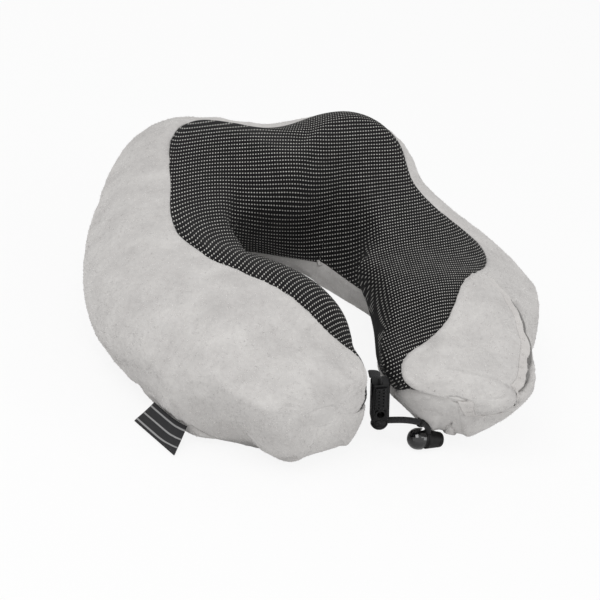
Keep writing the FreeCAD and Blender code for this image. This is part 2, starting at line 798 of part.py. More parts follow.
# The pull lies folded back under the slider, at its pin.
pull_at = slider_frame().multiply(point_at(0, size("pin_place"), size("pin_level")))
pull = new_body("zip_pull", pull_at)
sketch = new_sketch(pull, "XY_Plane", "pull_outline", "-sizes.pull_thick / 2")
outline(sketch, [("-sizes.pull_half", "sizes.pull_thick / 2"),
                 ("-sizes.pull_half * 0.8", "-sizes.pull_long + 0.8"),
                 ("-sizes.pull_half * 0.5", "-sizes.pull_long"),
                 ("sizes.pull_half * 0.5", "-sizes.pull_long"),
                 ("sizes.pull_half * 0.8", "-sizes.pull_long + 0.8"),
                 ("sizes.pull_half", "sizes.pull_thick / 2")])
extend(pull, "Pad", "pull_plate", sketch, "sizes.pull_thick")
soften(pull, "pull_knuckle", "sizes.pull_thick * 0.45",
       lambda edge: edge.BoundBox.XLength > size("pull_half") * 1.9
       and edge.BoundBox.YMin > 0)
volume = pull.Shape.Volume
sketch = new_sketch(pull, "YZ_Plane", "pull_eye", "-sizes.pull_half - 1")
ring(sketch, "0", "0", "sizes.pin_round + sizes.pin_slack")
extend(pull, "Pocket", "pull_eye_cut", sketch, "2 * sizes.pull_half + 2", True)
volume = took_away(pull, volume, 0.5)
sketch = new_sketch(pull, "XY_Plane", "pull_grip", "-sizes.pull_thick")
rectangle(sketch, "-sizes.pull_half * 0.4", "sizes.pull_half * 0.4", "-sizes.pull_long + 2",
          "-sizes.pull_long + 7")
extend(pull, "Pocket", "pull_grip_cut", sketch, "2 * sizes.pull_thick", True)
volume = took_away(pull, volume, 1)
FINISHED.append(pull)


# ---------------------------------------------------------------------------- woven tab

def seam_point(run, drop):
    """Point on the left lobe's base seam, a little outside the cover."""
    return Hoop("left", run).point(size("base_seam") + drop, -0.35)


def woven_tab():
    """Folded webbing from the base seam of the left lobe down to the surface it lies near."""
    start_run = 3.62
    end_run = 4.06
    rows = []
    for i in range(7):
        share = i / 6
        root = seam_point(start_run + (end_run - start_run) * share, 0)
        tip = Vector(-127.7 + 11 * share, -76.1 - 31 * share, size("tab_thick") + 0.3)
        run_out = tip - root
        bend = root + run_out * 0.55 + Vector(0, 0, -1.2)
        rows.append([root, root + (bend - root) * 0.5 + Vector(0, 0, 0.3), bend, tip])
    top = patch(rows, [float(i) for i in range(7)])
    down = Vector(0, 0, -size("tab_thick"))
    low_rows = [[point + down for point in row] for row in rows]
    low = patch(low_rows, [float(i) for i in range(7)])
    u0, u1, v0, v1 = top.bounds()
    walls = [bridge(top.uIso(u0), low.uIso(u0)), bridge(top.uIso(u1), low.uIso(u1)),
             bridge(top.vIso(v0), low.vIso(v0)), bridge(top.vIso(v1), low.vIso(v1))]
    return solid_from([top, low] + walls)


FINISHED.append(keep("label_tab", woven_tab()))

# ---------------------------------------------------------------------------- clasp

def clasp_frame():
    """Middle of the clasp's foot: x across its face, y into the pillow, z up the clasp."""
    lean = Rotation(Vector(0, 1, 0), -size("clasp_lean"))
    turned = Rotation(Vector(0, 0, 1), -size("clasp_turn"))
    return Placement(Vector(size("clasp_x"), size("clasp_y"), size("clasp_z")),
                     lean.multiply(turned))


body_frame = clasp_frame().multiply(point_at(0, 0, size("clasp_base")))
clasp = new_body("clasp_body", body_frame)
sketch = new_sketch(clasp, "XY_Plane", "clasp_outline")
rectangle(sketch, "-sizes.clasp_wide / 2", "sizes.clasp_wide / 2", "-sizes.clasp_deep / 2",
          "sizes.clasp_deep / 2")
extend(clasp, "Pad", "clasp_block", sketch, "sizes.clasp_tall")
soften(clasp, "clasp_corners", "sizes.clasp_corner",
       lambda edge: edge.BoundBox.ZLength > size("clasp_tall") - 1)
soften(clasp, "clasp_ends", "0.8",
       lambda edge: edge.BoundBox.ZLength < 0.01)
sketch = new_sketch(clasp, "XZ_Plane", "clasp_collar")
ring(sketch, "0", "sizes.eye_level", "sizes.collar_round")
extend(clasp, "Pad", "clasp_collar_pad", sketch, "sizes.clasp_deep / 2 + sizes.collar_proud")
volume = clasp.Shape.Volume
sketch = new_sketch(clasp, "XZ_Plane", "clasp_window")
TALL = "sizes.window_low + sizes.window_tall"
rectangle(sketch, "-sizes.window_wide / 2", "sizes.window_wide / 2", "sizes.window_low", TALL)
extend(clasp, "Pocket", "clasp_window_cut", sketch, "sizes.window_deep + 1", True)
volume = took_away(clasp, volume, 300)
sketch = new_sketch(clasp, "XZ_Plane", "spring_seat_outline")
MIDDLE = "sizes.window_low + sizes.window_tall / 2"
ring(sketch, "0", MIDDLE, "sizes.spring_seat")
extend(clasp, "Pocket", "spring_seat_cut", sketch, "sizes.spring_seat")
volume = took_away(clasp, volume, 20)
sketch = new_sketch(clasp, "XZ_Plane", "clasp_eye", "-sizes.clasp_deep")
ring(sketch, "0", "sizes.eye_level", "sizes.eye_round")
extend(clasp, "Pocket", "clasp_eye_cut", sketch, "3 * sizes.clasp_deep", True)
volume = took_away(clasp, volume, 100)
sketch = new_sketch(clasp, "XY_Plane", "loop_slot_outline", "sizes.clasp_tall - 0.9")
rectangle(sketch, "-sizes.loop_slot / 2", "sizes.loop_slot / 2", "-sizes.loop_wide / 2 - 0.2",
          "sizes.loop_wide / 2 + 0.2")
extend(clasp, "Pocket", "loop_slot_cut", sketch, "8", True)
volume = took_away(clasp, volume, 8)
FINISHED.append(clasp)

# Button: a crowned plate in the window with two staggered columns of dimples.
button_at = body_frame.multiply(point_at(0, 0, size("window_low") + size("button_slack")))
button = new_body("clasp_button", button_at)
sketch = new_sketch(button, "XY_Plane", "button_section")
EDGE = "sizes.window_wide / 2 - sizes.button_slack"
FACE = "-sizes.clasp_deep / 2"
outline(sketch, [("-(" + EDGE + ")", "-sizes.button_back"),
                 ("-(" + EDGE + ")", FACE + " - 0.35 * sizes.button_proud"),
                 ("-(" + EDGE + ") * 0.62", FACE + " - 0.85 * sizes.button_proud"),
                 ("-(" + EDGE + ") * 0.25", FACE + " - sizes.button_proud"),
                 ("(" + EDGE + ") * 0.25", FACE + " - sizes.button_proud"),
                 ("(" + EDGE + ") * 0.62", FACE + " - 0.85 * sizes.button_proud"),
                 (EDGE, FACE + " - 0.35 * sizes.button_proud"),
                 (EDGE, "-sizes.button_back")])
extend(button, "Pad", "button_block", sketch, "sizes.window_tall - 2 * sizes.button_slack")
soften(button, "button_ends", "0.5",
       lambda edge: edge.BoundBox.ZLength < 0.01 and edge.CenterOfMass.y < -size("clasp_deep") / 2
       - 0.3)
volume = button.Shape.Volume
sketch = new_sketch(button, "XZ_Plane", "button_dimples",
                    "sizes.clasp_deep / 2 + sizes.button_proud + 1")
ring(sketch, "-1.3", "2", "sizes.dimple_round")
ring(sketch, "1.3", "2 + sizes.dimple_pitch / 2", "sizes.dimple_round")
dimples = extend(button, "Pocket", "button_dimple_cut", sketch, "1 + sizes.dimple_deep + 0.2")
volume = took_away(button, volume, 0.3)
rows_of = button.newObject("PartDesign::LinearPattern", "button_dimple_rows")
rows_of.Originals = [dimples]
rows_of.Direction = (sketch, ["V_Axis"])
rows_of.setExpression("Length", "5 * sizes.dimple_pitch")
rows_of.Occurrences = 6
button.Tip = rows_of
doc.recompute()
volume = took_away(button, volume, 1)
FINISHED.append(button)


def coil(radius, wire, length, turns):
    """Compression spring along +Z, in short straight lengths; its wire starts at the origin's level."""
    count = 16 * turns
    rings = []
    for k in range(count + 1):
        around = 2 * math.pi * k / 16
        out = Vector(math.cos(around), math.sin(around), 0)
        middle = out * radius + Vector(0, 0, (length - 2 * wire) * k / count)
        ring_points = []
        for j in range(8):
            turn = math.pi * j / 4
            lift = Vector(0, 0, wire * math.sin(turn))
            ring_points.append(middle + out * (wire * math.cos(turn)) + lift)
        rings.append(ring_points)
    faces = []
    for ring_a, ring_b in zip(rings, rings[1:]):
        for j in range(8):
            a, b = ring_a[j], ring_a[(j + 1) % 8]
            c, d = ring_b[(j + 1) % 8], ring_b[j]
            faces.append(Part.Face(Part.makePolygon([a, b, c, a])))
            faces.append(Part.Face(Part.makePolygon([a, c, d, a])))
    for ring_points in (rings[0], rings[-1]):
        faces.append(Part.Face(Part.makePolygon(ring_points + [ring_points[0]])))
    return solid_from([], faces)


spring_long = size("button_back") + size("spring_seat") - 0.1
spring = keep("clasp_spring", coil(size("spring_round"), size("spring_wire"), spring_long, 4))
middle_up = size("window_low") + size("window_tall") / 2
spring_seat = point_at(0, size("spring_seat") - size("spring_wire") - 0.05, middle_up)
spring.Placement = body_frame.multiply(spring_seat).multiply(
    Placement(Vector(0, 0, 0), Rotation(Vector(1, 0, 0), 90)))
FINISHED.append(spring)

# Foot: a turned barrel with a ridge, and a hole for the cord from its right side.
foot = new_body("clasp_foot", clasp_frame())
sketch = new_sketch(foot, "XZ_Plane", "foot_section")
R = "sizes.foot_round"
outline(sketch, [("0", "0"), (R + " - 1.8", "0"), (R + " - 0.7", "0.4"), (R, "1.4"),
                 (R, "1.9"), (R + " + 0.35", "2.1"), (R + " + 0.35", "2.7"), (R, "2.9"),
                 (R, "sizes.foot_tall - 0.5"), (R + " - 0.5", "sizes.foot_tall"),
                 ("0", "sizes.foot_tall")])
spin(foot, "Revolution", "foot_turned", sketch, "V_Axis")
volume = foot.Shape.Volume
sketch = new_sketch(foot, "YZ_Plane", "foot_hole", "0.6")
ring(sketch, "0", "sizes.cord_level", "sizes.cord_round + sizes.cord_slack")
extend(foot, "Pocket", "foot_hole_cut", sketch, "8", True)
volume = took_away(foot, volume, 25)
FINISHED.append(foot)

# Webbing from the clasp's top to the left lobe.
loop = new_body("clasp_loop", body_frame.multiply(point_at(0, size("loop_wide") / 2, 0)))
sketch = new_sketch(loop, "XZ_Plane", "loop_section")
HALF = "sizes.loop_thick / 2"
TOP = "sizes.clasp_tall"
outline(sketch, [("-" + HALF, TOP + " - 0.8"), (HALF, TOP + " - 0.8"), (HALF, TOP + " + 3.4"),
                 (HALF + " - 1", TOP + " + 5"), ("-6.9", TOP + " + 5.9"),
                 ("-6.9", TOP + " + 4.5"), ("-" + HALF + " - 0.8", TOP + " + 3.6"),
                 ("-" + HALF, TOP + " + 2.6")])
extend(loop, "Pad", "loop_band", sketch, "sizes.loop_wide")
FINISHED.append(loop)

# ---------------------------------------------------------------------------- toggle

def toggle_frame():
    """Middle of the toggle's head: x to its tail, z up through the cord's hole."""
    dip = Rotation(Vector(0, 1, 0), size("toggle_dip"))
    turned = Rotation(Vector(0, 0, 1), size("toggle_turn"))
    return Placement(Vector(size("toggle_x"), size("toggle_y"), size("toggle_z")),
                     turned.multiply(dip))


barrel = new_body("toggle_body", toggle_frame())
sketch = new_sketch(barrel, "XY_Plane", "barrel_section")
BORE = "sizes.stem_round + sizes.stem_slack"
NECK = "sizes.barrel_neck"
FRONT = "sizes.barrel_front"
TAIL = "sizes.barrel_tail"
SHOULDER = "sizes.barrel_shoulder"
LAST = "sizes.barrel_end"
outline(sketch, [("sizes.barrel_nose", BORE), ("sizes.barrel_nose", NECK), (SHOULDER + " - 0.6", NECK),
                 (SHOULDER + " - 0.2", FRONT + " - 0.3"), (SHOULDER + " + 0.4", FRONT),
                 (LAST + " - 3.2", TAIL + " + 0.25"), (LAST + " - 3", TAIL + " - 0.1"),
                 (LAST + " - 2.5", TAIL + " - 0.1"), (LAST + " - 2.3", TAIL + " + 0.15"),
                 (LAST + " - 1.9", TAIL + " + 0.1"), (LAST + " - 1.7", TAIL + " - 0.2"),
                 (LAST + " - 1.2", TAIL + " - 0.2"), (LAST + " - 1", TAIL),
                 (LAST + " - 0.3", TAIL + " - 0.3"),
                 (LAST, TAIL + " - 1"), (LAST, "0"),
                 ("sizes.bore_end", "0"), ("sizes.bore_end", BORE)])
spin(barrel, "Revolution", "barrel_turned", sketch, "H_Axis")
volume = barrel.Shape.Volume
sketch = new_sketch(barrel, "XY_Plane", "barrel_hole", "-20")
ring(sketch, "sizes.cross_place", "0", "sizes.cord_round + sizes.cross_slack")
extend(barrel, "Pocket", "barrel_hole_cut", sketch, "40", True)
volume = took_away(barrel, volume, 30)
FINISHED.append(barrel)

# Plunger: a hollow dome with a skirt over the barrel's nose, and a slotted stem.
plunger = new_body("toggle_plunger", toggle_frame())
sketch = new_sketch(plunger, "XY_Plane", "plunger_section")
DOME = "sizes.head_round"
corners = []
for angle in (0, 15, 30, 45, 60, 75, 90):
    c = round(math.cos(math.radians(angle)), 4)
    q = round(math.sin(math.radians(angle)), 4)
    if angle == 0:
        corners.append(("-" + DOME, "0"))
    else:
        corners.append(("-" + DOME + " * " + str(c) if angle < 90 else "0", DOME + " * " + str(q)))
STEM = "sizes.stem_round"
SKIRT = "sizes.head_skirt"
CAVE = DOME + " - sizes.head_wall"
corners += [(SKIRT, DOME + " - 0.1"), (SKIRT, CAVE), ("-1.6", CAVE), ("-1.6", STEM),
            ("sizes.stem_end - 0.4", STEM), ("sizes.stem_end", STEM + " - 0.4"),
            ("sizes.stem_end", "0")]
outline(sketch, corners)
spin(plunger, "Revolution", "plunger_turned", sketch, "H_Axis")
volume = plunger.Shape.Volume
sketch = new_sketch(plunger, "XY_Plane", "plunger_slot", "-20")
HOLE = "sizes.cord_round + sizes.cross_slack"
rectangle(sketch, "sizes.cross_place - sizes.plunger_travel - 0.8 - (" + HOLE + ")",
          "sizes.cross_place + " + HOLE, "-(" + HOLE + ")", HOLE)
extend(plunger, "Pocket", "plunger_slot_cut", sketch, "40", True)
volume = took_away(plunger, volume, 60)
FINISHED.append(plunger)

toggle_spring = keep("toggle_spring", coil(size("stem_round") - 1.1, 0.3,
                                           size("bore_end") - size("stem_end") - 0.1, 3))
toggle_spring.Placement = toggle_frame().multiply(
    Placement(Vector(size("stem_end") + 0.35, 0, 0), Rotation(Vector(0, 1, 0), 90)))
FINISHED.append(toggle_spring)

# ---------------------------------------------------------------------------- cord

def cord_route():
    """Corners of the cord's path: inside the clasp's foot, out, over, and down into the toggle."""
    start = clasp_frame().multVec(Vector(0.8, 0, size("cord_level")))
    second = clasp_frame().multVec(Vector(9.5, 0, size("cord_level")))
    peak = Vector(size("peak_x"), size("peak_y"), size("peak_z"))
    above = toggle_frame().multVec(Vector(size("cross_place"), 0, 7.3))
    inside = toggle_frame().multVec(Vector(size("cross_place"), 0, 0.2))
    return [start, second, peak, above, inside]


def tube(points, radius):
    """Straight runs joined by tangent arcs."""
    edges = []
    at = points[0]
    length = 0
    for before, corner, after in zip(points, points[1:], points[2:]):
        way_in = (corner - before).normalize()
        way_out = (after - corner).normalize()
        shorter = min((corner - before).Length, (after - corner).Length)
        half = way_in.getAngle(way_out) / 2
        reach = 0.45 * shorter
        bend = reach / math.tan(half)
        first = corner - way_in * reach
        last = corner + way_out * reach
        inward = (way_out - way_in).normalize()
        middle = corner + inward * (bend / math.cos(half) - bend)
        edges.append(Part.LineSegment(at, first).toShape())
        edges.append(Part.Arc(first, middle, last).toShape())
        length += (first - at).Length + 2 * half * bend
        print("cord bend", round(bend, 1), "run", round((corner - before).Length, 1),
              "turn", round(math.degrees(2 * half)))
        at = last
    edges.append(Part.LineSegment(at, points[-1]).toShape())
    length += (points[-1] - at).Length
    path = Part.Wire(edges)
    heading = points[1] - points[0]
    profile = Part.Wire([Part.makeCircle(radius, points[0], heading)])
    solid = path.makePipeShell([profile], True, False)
    print("cord volume", round(solid.Volume, 1), "expected",
          round(length * math.pi * radius ** 2, 1))
    return solid


route = cord_route()
FINISHED.append(keep("cord", tube(route, size("cord_round"))))

# Stitched keeper that holds the cord to the right lobe, round the straight of its third run.
run_down = route[3] - route[2]
keeper_at = route[2] + run_down * 0.36
lobe_side = Vector(0.56, 0.48, 0.68)
axis = Vector(run_down.x, run_down.y, run_down.z).normalize()
lobe_side = (lobe_side - axis * lobe_side.dot(axis)).normalize()
keeper_ring = Part.makeCylinder(size("cord_round") + 0.75, 2.6, keeper_at - axis * 1.3, axis)
stem = Part.makeBox(2.6, 2.4, 2.9)
stem.translate(Vector(-1.3, -1.2, 0))
stem.Placement = Placement(keeper_at, Rotation(axis, axis.cross(lobe_side) * -1, lobe_side, "XZY")
                           ).multiply(stem.Placement)
hole = Part.makeCylinder(size("cord_round") + 0.1, 12, keeper_at - axis * 6, axis)
keeper = keeper_ring.fuse(stem).cut(hole)
FINISHED.append(keep("cord_tab", keeper))

# ---------------------------------------------------------------------------- export

doc.recompute()
for item in doc.Objects:
    for state in item.State:
        if state in ("Invalid", "Error"):
            raise ValueError(item.Name + " " + state)

os.makedirs("parts", exist_ok=True)
for part in FINISHED:
    shape = part.Shape
    if shape.isNull() or not shape.isValid():
        raise ValueError(part.Label + " shape is not valid")
    print(part.Label, len(shape.Solids), round(shape.Volume, 1),
          [round(v, 1) for v in (shape.BoundBox.XMin, shape.BoundBox.XMax, shape.BoundBox.YMin,
                                 shape.BoundBox.YMax, shape.BoundBox.ZMin, shape.BoundBox.ZMax)])
    shape.exportStep("parts/" + part.Label + ".step")
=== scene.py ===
import math
import bmesh
import bpy
import numpy as np
from mathutils import Matrix, Vector, noise


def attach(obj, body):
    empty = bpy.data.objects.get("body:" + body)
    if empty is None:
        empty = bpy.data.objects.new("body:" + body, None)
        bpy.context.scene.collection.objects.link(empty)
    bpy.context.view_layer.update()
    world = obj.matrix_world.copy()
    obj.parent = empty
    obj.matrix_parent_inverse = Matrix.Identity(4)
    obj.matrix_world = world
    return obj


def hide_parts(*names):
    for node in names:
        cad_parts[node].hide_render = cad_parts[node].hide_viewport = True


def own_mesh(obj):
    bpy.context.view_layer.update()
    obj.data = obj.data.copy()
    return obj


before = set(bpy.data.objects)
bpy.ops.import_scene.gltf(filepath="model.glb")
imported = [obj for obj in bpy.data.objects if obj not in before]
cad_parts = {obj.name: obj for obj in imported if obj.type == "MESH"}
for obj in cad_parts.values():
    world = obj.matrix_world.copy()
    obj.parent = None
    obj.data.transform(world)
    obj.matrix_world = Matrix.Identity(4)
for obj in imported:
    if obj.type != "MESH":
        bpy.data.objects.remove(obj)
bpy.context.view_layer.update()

# The neck pillow's finish: puffed cover panels over the moulded roll, the knit's dots, the zip, the
# woven tab, the clasp with its webbing, and the toggle on its cord. Metres; +Y to the nape.

# ---------------------------------------------------------------------------- camera and cord

VIEW_TARGET = Vector((-0.0002, -0.0196, 0.040))
VIEW_AZIMUTH = math.radians(-30.8)
VIEW_ELEVATION = math.radians(29.9)
VIEW_ROLL = math.radians(16)
VIEW_DISTANCE = 1.217


def set_camera():
    lens = bpy.data.cameras.new("view")
    lens.lens = 123.4
    lens.sensor_width = 36
    lens.shift_x = -0.037
    lens.shift_y = 0.008
    camera = bpy.data.objects.new("view", lens)
    bpy.context.scene.collection.objects.link(camera)
    level = math.cos(VIEW_ELEVATION)
    back = Vector((math.sin(VIEW_AZIMUTH) * level, -math.cos(VIEW_AZIMUTH) * level,
                   math.sin(VIEW_ELEVATION)))
    facing = (-back).to_track_quat("-Z", "Y").to_matrix().to_4x4()
    place = Matrix.Translation(VIEW_TARGET + back * VIEW_DISTANCE)
    camera.matrix_world = place @ facing @ Matrix.Rotation(VIEW_ROLL, 4, "Z")
    bpy.context.scene.camera = camera


set_camera()

CORD_POINTS = [(0.00785, -0.10381, 0.01677), (0.01598, -0.10606, 0.01887),
               (0.0258, -0.1100, 0.0206), (0.03972, -0.10843, 0.01487),
               (0.03769, -0.10851, 0.00604)]
CORD_RADIUS = 0.0019


def free_line(name, points):
    """A smooth line that has the points as its control points."""
    curve = bpy.data.curves.new(name, "CURVE")
    curve.dimensions = "3D"
    curve.resolution_u = 24
    spline = curve.splines.new("NURBS")
    spline.points.add(len(points) - 1)
    for held, point in zip(spline.points, points):
        held.co = (*point, 1)
    spline.order_u = 3
    spline.use_endpoint_u = True
    line = bpy.data.objects.new(name, curve)
    bpy.context.scene.collection.objects.link(line)
    return line


def line_points(line):
    mesh = bpy.data.meshes.new_from_object(line)
    points = [vertex.co.copy() for vertex in mesh.vertices]
    bpy.data.meshes.remove(mesh)
    return points


# ---------------------------------------------------------------------------- meshes

def add_piece(name, mesh, finish, smooth=True):
    piece = bpy.data.objects.new(name, mesh)
    bpy.context.scene.collection.objects.link(piece)
    mesh.materials.clear()
    mesh.materials.append(finish)
    if smooth:
        mesh.polygons.foreach_set("use_smooth", [True] * len(mesh.polygons))
    return piece


def grid_mesh(name, points, flat_map=None, wrap=False, caps=False):
    """Mesh over rows of points; faces look along (row step) x (column step)."""
    rows, columns = points.shape[:2]
    corners = [tuple(p) for p in points.reshape(-1, 3)]
    faces = []
    last = columns if wrap else columns - 1
    for i in range(rows - 1):
        for j in range(last):
            k = (j + 1) % columns
            faces.append((i * columns + j, (i + 1) * columns + j, (i + 1) * columns + k,
                          i * columns + k))
    if caps:
        for i, flip in ((0, False), (rows - 1, True)):
            ring = points[i]
            middle = len(corners)
            corners.append(tuple(ring.mean(0)))
            for j in range(columns):
                k = (j + 1) % columns
                a, b = i * columns + j, i * columns + k
                faces.append((middle, b, a) if flip else (middle, a, b))
    mesh = bpy.data.meshes.new(name)
    mesh.from_pydata(corners, [], faces)
    if flat_map is not None:
        layer = mesh.uv_layers.new(name="flat")
        spread = flat_map.reshape(-1, 2)
        index = np.empty(len(mesh.loops), int)
        mesh.loops.foreach_get("vertex_index", index)
        index = np.minimum(index, len(spread) - 1)
        layer.data.foreach_set("uv", spread[index].astype(np.float32).ravel())
    mesh.update()
    return mesh


def settle(piece):
    """Apply the modifiers of a piece to its mesh."""
    depsgraph = bpy.context.evaluated_depsgraph_get()
    mesh = bpy.data.meshes.new_from_object(piece.evaluated_get(depsgraph))
    piece.modifiers.clear()
    piece.data = mesh
    return piece


def thicken(piece, depth, offset=-1, levels=0):
    """Give a skin its wall, which lies inwards unless told otherwise."""
    wall = piece.modifiers.new("wall", "SOLIDIFY")
    wall.thickness = depth
    wall.offset = offset
    if levels:
        finer = piece.modifiers.new("finer", "SUBSURF")
        finer.levels = finer.render_levels = levels
    return settle(piece)


def rework(mesh, *steps):
    """Run steps over an editable form of a mesh and write it back."""
    work = bmesh.new()
    work.from_mesh(mesh)
    for step in steps:
        step(work)
    work.to_mesh(mesh)
    work.free()


def face_out(mesh):
    """Join doubled corners and turn every face outwards."""
    rework(mesh, lambda work: bmesh.ops.remove_doubles(work, verts=work.verts, dist=1e-7),
           lambda work: bmesh.ops.recalc_face_normals(work, faces=work.faces))
    mesh.update()


def drop_faces(work, unwanted):
    """Delete the faces whose middles are unwanted."""
    gone = [face for face in work.faces if unwanted(face.calc_center_median())]
    bmesh.ops.delete(work, geom=gone, context="FACES")


def tube_mesh(name, points, radius, sides=16):
    """Tube along points, with its round ends closed and a map of its length and girth."""
    points = [Vector(p) for p in points]
    rows = []
    flat = []
    across = None
    run = 0.0
    for i, point in enumerate(points):
        ahead = (points[min(i + 1, len(points) - 1)] - points[max(i - 1, 0)]).normalized()
        if across is None:
            across = ahead.orthogonal().normalized()
        across = (across - ahead * across.dot(ahead)).normalized()
        other = ahead.cross(across)
        if i:
            run += (point - points[i - 1]).length
        girth = radius(run) if callable(radius) else radius
        rows.append([point + (across * math.cos(2 * math.pi * k / sides)
                              + other * math.sin(2 * math.pi * k / sides)) * girth
                     for k in range(sides)])
        flat.append([(run, girth * 2 * math.pi * k / sides) for k in range(sides)])
    mesh = grid_mesh(name, np.array(rows), np.array(flat), wrap=True, caps=True)
    face_out(mesh)
    return mesh


# ---------------------------------------------------------------------------- finishes

class Finish:
    """A node material under construction."""

    def __init__(self, name, **settings):
        self.material = bpy.data.materials.new(name)
        self.material.use_nodes = True
        self.nodes = self.material.node_tree.nodes
        self.links = self.material.node_tree.links
        self.shader = self.nodes["Principled BSDF"]
        for socket, value in settings.items():
            self.shader.inputs[socket.replace("_", " ")].default_value = value

    def add(self, kind, **values):
        node = self.nodes.new("ShaderNode" + kind)
        for key, value in values.items():
            if hasattr(node, key):
                setattr(node, key, value)
            else:
                node.inputs[key.replace("_", " ")].default_value = value
        return node

    def join(self, output, target):
        self.links.new(output, target)
        return target.node

    def coordinates(self, kind="Object"):
        if kind != "Object":
            return self.add("UVMap", uv_map=kind).outputs[0]
        return self.add("TexCoord").outputs["Object"]

    def flat_map(self):
        """The piece's own map, split into its two ways."""
        split = self.add("SeparateXYZ")
        self.join(self.coordinates("flat"), split.inputs[0])
        return split

    def weave(self, first, second, pitch):
        """Threads going over and under each other along two ways."""
        waves = [self.sum("SINE", self.sum("MULTIPLY", way, math.pi / pitch))
                 for way in (first, second)]
        return self.sum("MULTIPLY_ADD", self.sum("MULTIPLY", *waves), 0.5, 0.5)

    def grain(self, scale, detail=2.0, stretch=None, kind="Object", roughness=0.5):
        place = self.coordinates(kind)
        if stretch:
            moved = self.add("Mapping")
            moved.inputs["Scale"].default_value = stretch
            self.join(place, moved.inputs["Vector"])
            place = moved.outputs[0]
        node = self.add("TexNoise", Scale=scale, Detail=detail, Roughness=roughness)
        self.join(place, node.inputs["Vector"])
        return node.outputs["Fac"]

    def ramp(self, source, stops):
        node = self.add("ValToRGB")
        band = node.color_ramp
        while len(band.elements) < len(stops):
            band.elements.new(0.5)
        for element, (at, colour) in zip(band.elements, stops):
            element.position = at
            element.color = (*colour, 1) if len(colour) == 3 else colour
        self.join(source, node.inputs["Fac"])
        return node.outputs["Color"]

    def sum(self, operation, first, second=None, third=None):
        node = self.add("Math", operation=operation)
        for socket, value in zip(node.inputs, (first, second, third)):
            if value is None:
                continue
            if isinstance(value, (int, float)):
                socket.default_value = value
            else:
                self.join(value, socket)
        return node.outputs[0]

    def mix(self, share, first, second):
        node = self.add("Mix", data_type="RGBA")
        for socket, value in zip((node.inputs[0], node.inputs[6], node.inputs[7]),
                                 (share, first, second)):
            if isinstance(value, (int, float)):
                socket.default_value = value
            elif isinstance(value, tuple):
                socket.default_value = (*value, 1)
            else:
                self.join(value, socket)
        return node.outputs[2]

    def colour(self, source):
        self.join(source, self.shader.inputs["Base Color"])

    def bump(self, height, distance, strength=1.0, under=None):
        node = self.add("Bump", Strength=strength, Distance=distance)
        self.join(height, node.inputs["Height"])
        if under is not None:
            self.join(under, node.inputs["Normal"])
        return node.outputs[0]

    def normal(self, source):
        self.join(source, self.shader.inputs["Normal"])


def nap_finish(name, low, high):
    """Short plush: mottled where the nap lies differently, and a soft grain."""
    finish = Finish(name, Roughness=0.92, Sheen_Weight=0.35, Sheen_Roughness=0.45,
                    Specular_IOR_Level=0.15)
    finish.shader.inputs["Sheen Tint"].default_value = (1, 0.985, 0.97, 1)
    patches = finish.grain(42, 3, (1, 1.5, 1), roughness=0.6)
    strands = finish.grain(420, 3)
    mottled = finish.sum("MULTIPLY_ADD", strands, 0.35, finish.sum("MULTIPLY", patches, 0.75))
    finish.colour(finish.ramp(mottled, [(0.36, low), (0.74, high)]))
    soft = finish.bump(finish.grain(95, 3), 0.0016, 0.35)
    finish.normal(finish.bump(finish.grain(1300, 2), 0.0004, 0.6, under=soft))
    return finish.material


# The hairs are coloured lighter than the plush they grow from: painted light that offsets the shade
# the hairs cast on one another.
TUFT_PAINTED_LIGHTER = nap_finish("plush_hair", (0.74, 0.72, 0.705), (0.82, 0.80, 0.785))
PLUSH = nap_finish("plush", (0.495, 0.48, 0.47), (0.63, 0.615, 0.60))
HEM = nap_finish("plush_hem", (0.53, 0.51, 0.495), (0.63, 0.61, 0.595))
# Dark colours for the strip in the pocket's mouth: painted shade, standing for the shadow in the
# mouth's crevice.
MOUTH_SHADE = nap_finish("pocket_mouth_shade", (0.13, 0.125, 0.12), (0.22, 0.215, 0.21))


KNIT_ACROSS, KNIT_ALONG = 0.0020, 0.0025  # one repeat of the knit's dots


def knit_finish():
    """Black spacer knit with pale dots in rows, mapped on the cut panel."""
    finish = Finish("dotted_knit", Roughness=0.85, Sheen_Weight=0.02, Specular_IOR_Level=0.12)
    split = finish.flat_map()
    across = finish.sum("MULTIPLY", split.outputs[0], 1 / KNIT_ACROSS)
    along = finish.sum("MULTIPLY", split.outputs[1], 1 / KNIT_ALONG)
    side = finish.sum("PINGPONG", across, 0.5)
    level = finish.sum("PINGPONG", along, 0.5)
    wide = finish.sum("POWER", finish.sum("MULTIPLY", side, 1 / 0.29), 2.0)
    tall = finish.sum("POWER", finish.sum("MULTIPLY", level, 1 / 0.18), 2.0)
    reach = finish.sum("ADD", wide, tall)
    dot = finish.ramp(reach, [(0.45, (1, 1, 1)), (0.95, (0, 0, 0))])
    worn = finish.grain(160, 2, kind="flat")
    pale = finish.ramp(worn, [(0.3, (0.42, 0.41, 0.39)), (0.7, (0.66, 0.65, 0.62))])
    ground = finish.ramp(finish.grain(900, 2, kind="flat"),
                         [(0.3, (0.004, 0.004, 0.0045)), (0.7, (0.014, 0.0135, 0.014))])
    finish.colour(finish.mix(dot, ground, pale))
    rib = finish.bump(level, 0.0007, 0.5)
    finish.normal(finish.bump(dot, 0.0003, 0.6, under=rib))
    return finish.material


KNIT = knit_finish()


def plastic_finish(name, colour, roughness, coat=0.0, grain=0.3, shine=0.2):
    finish = Finish(name, Roughness=roughness, Specular_IOR_Level=shine, Coat_Weight=coat,
                    Coat_Roughness=0.08)
    wear = finish.grain(260, 4)
    dull = tuple(c * 1.5 + 0.001 for c in colour)
    finish.colour(finish.ramp(wear, [(0.35, colour), (0.75, dull)]))
    rough = finish.add("MapRange")
    finish.join(finish.grain(600, 3), rough.inputs["Value"])
    rough.inputs["To Min"].default_value = roughness * 0.85
    rough.inputs["To Max"].default_value = roughness * 1.2
    finish.join(rough.outputs[0], finish.shader.inputs["Roughness"])
    finish.normal(finish.bump(finish.grain(2600, 2), 0.0001, grain))
    return finish.material


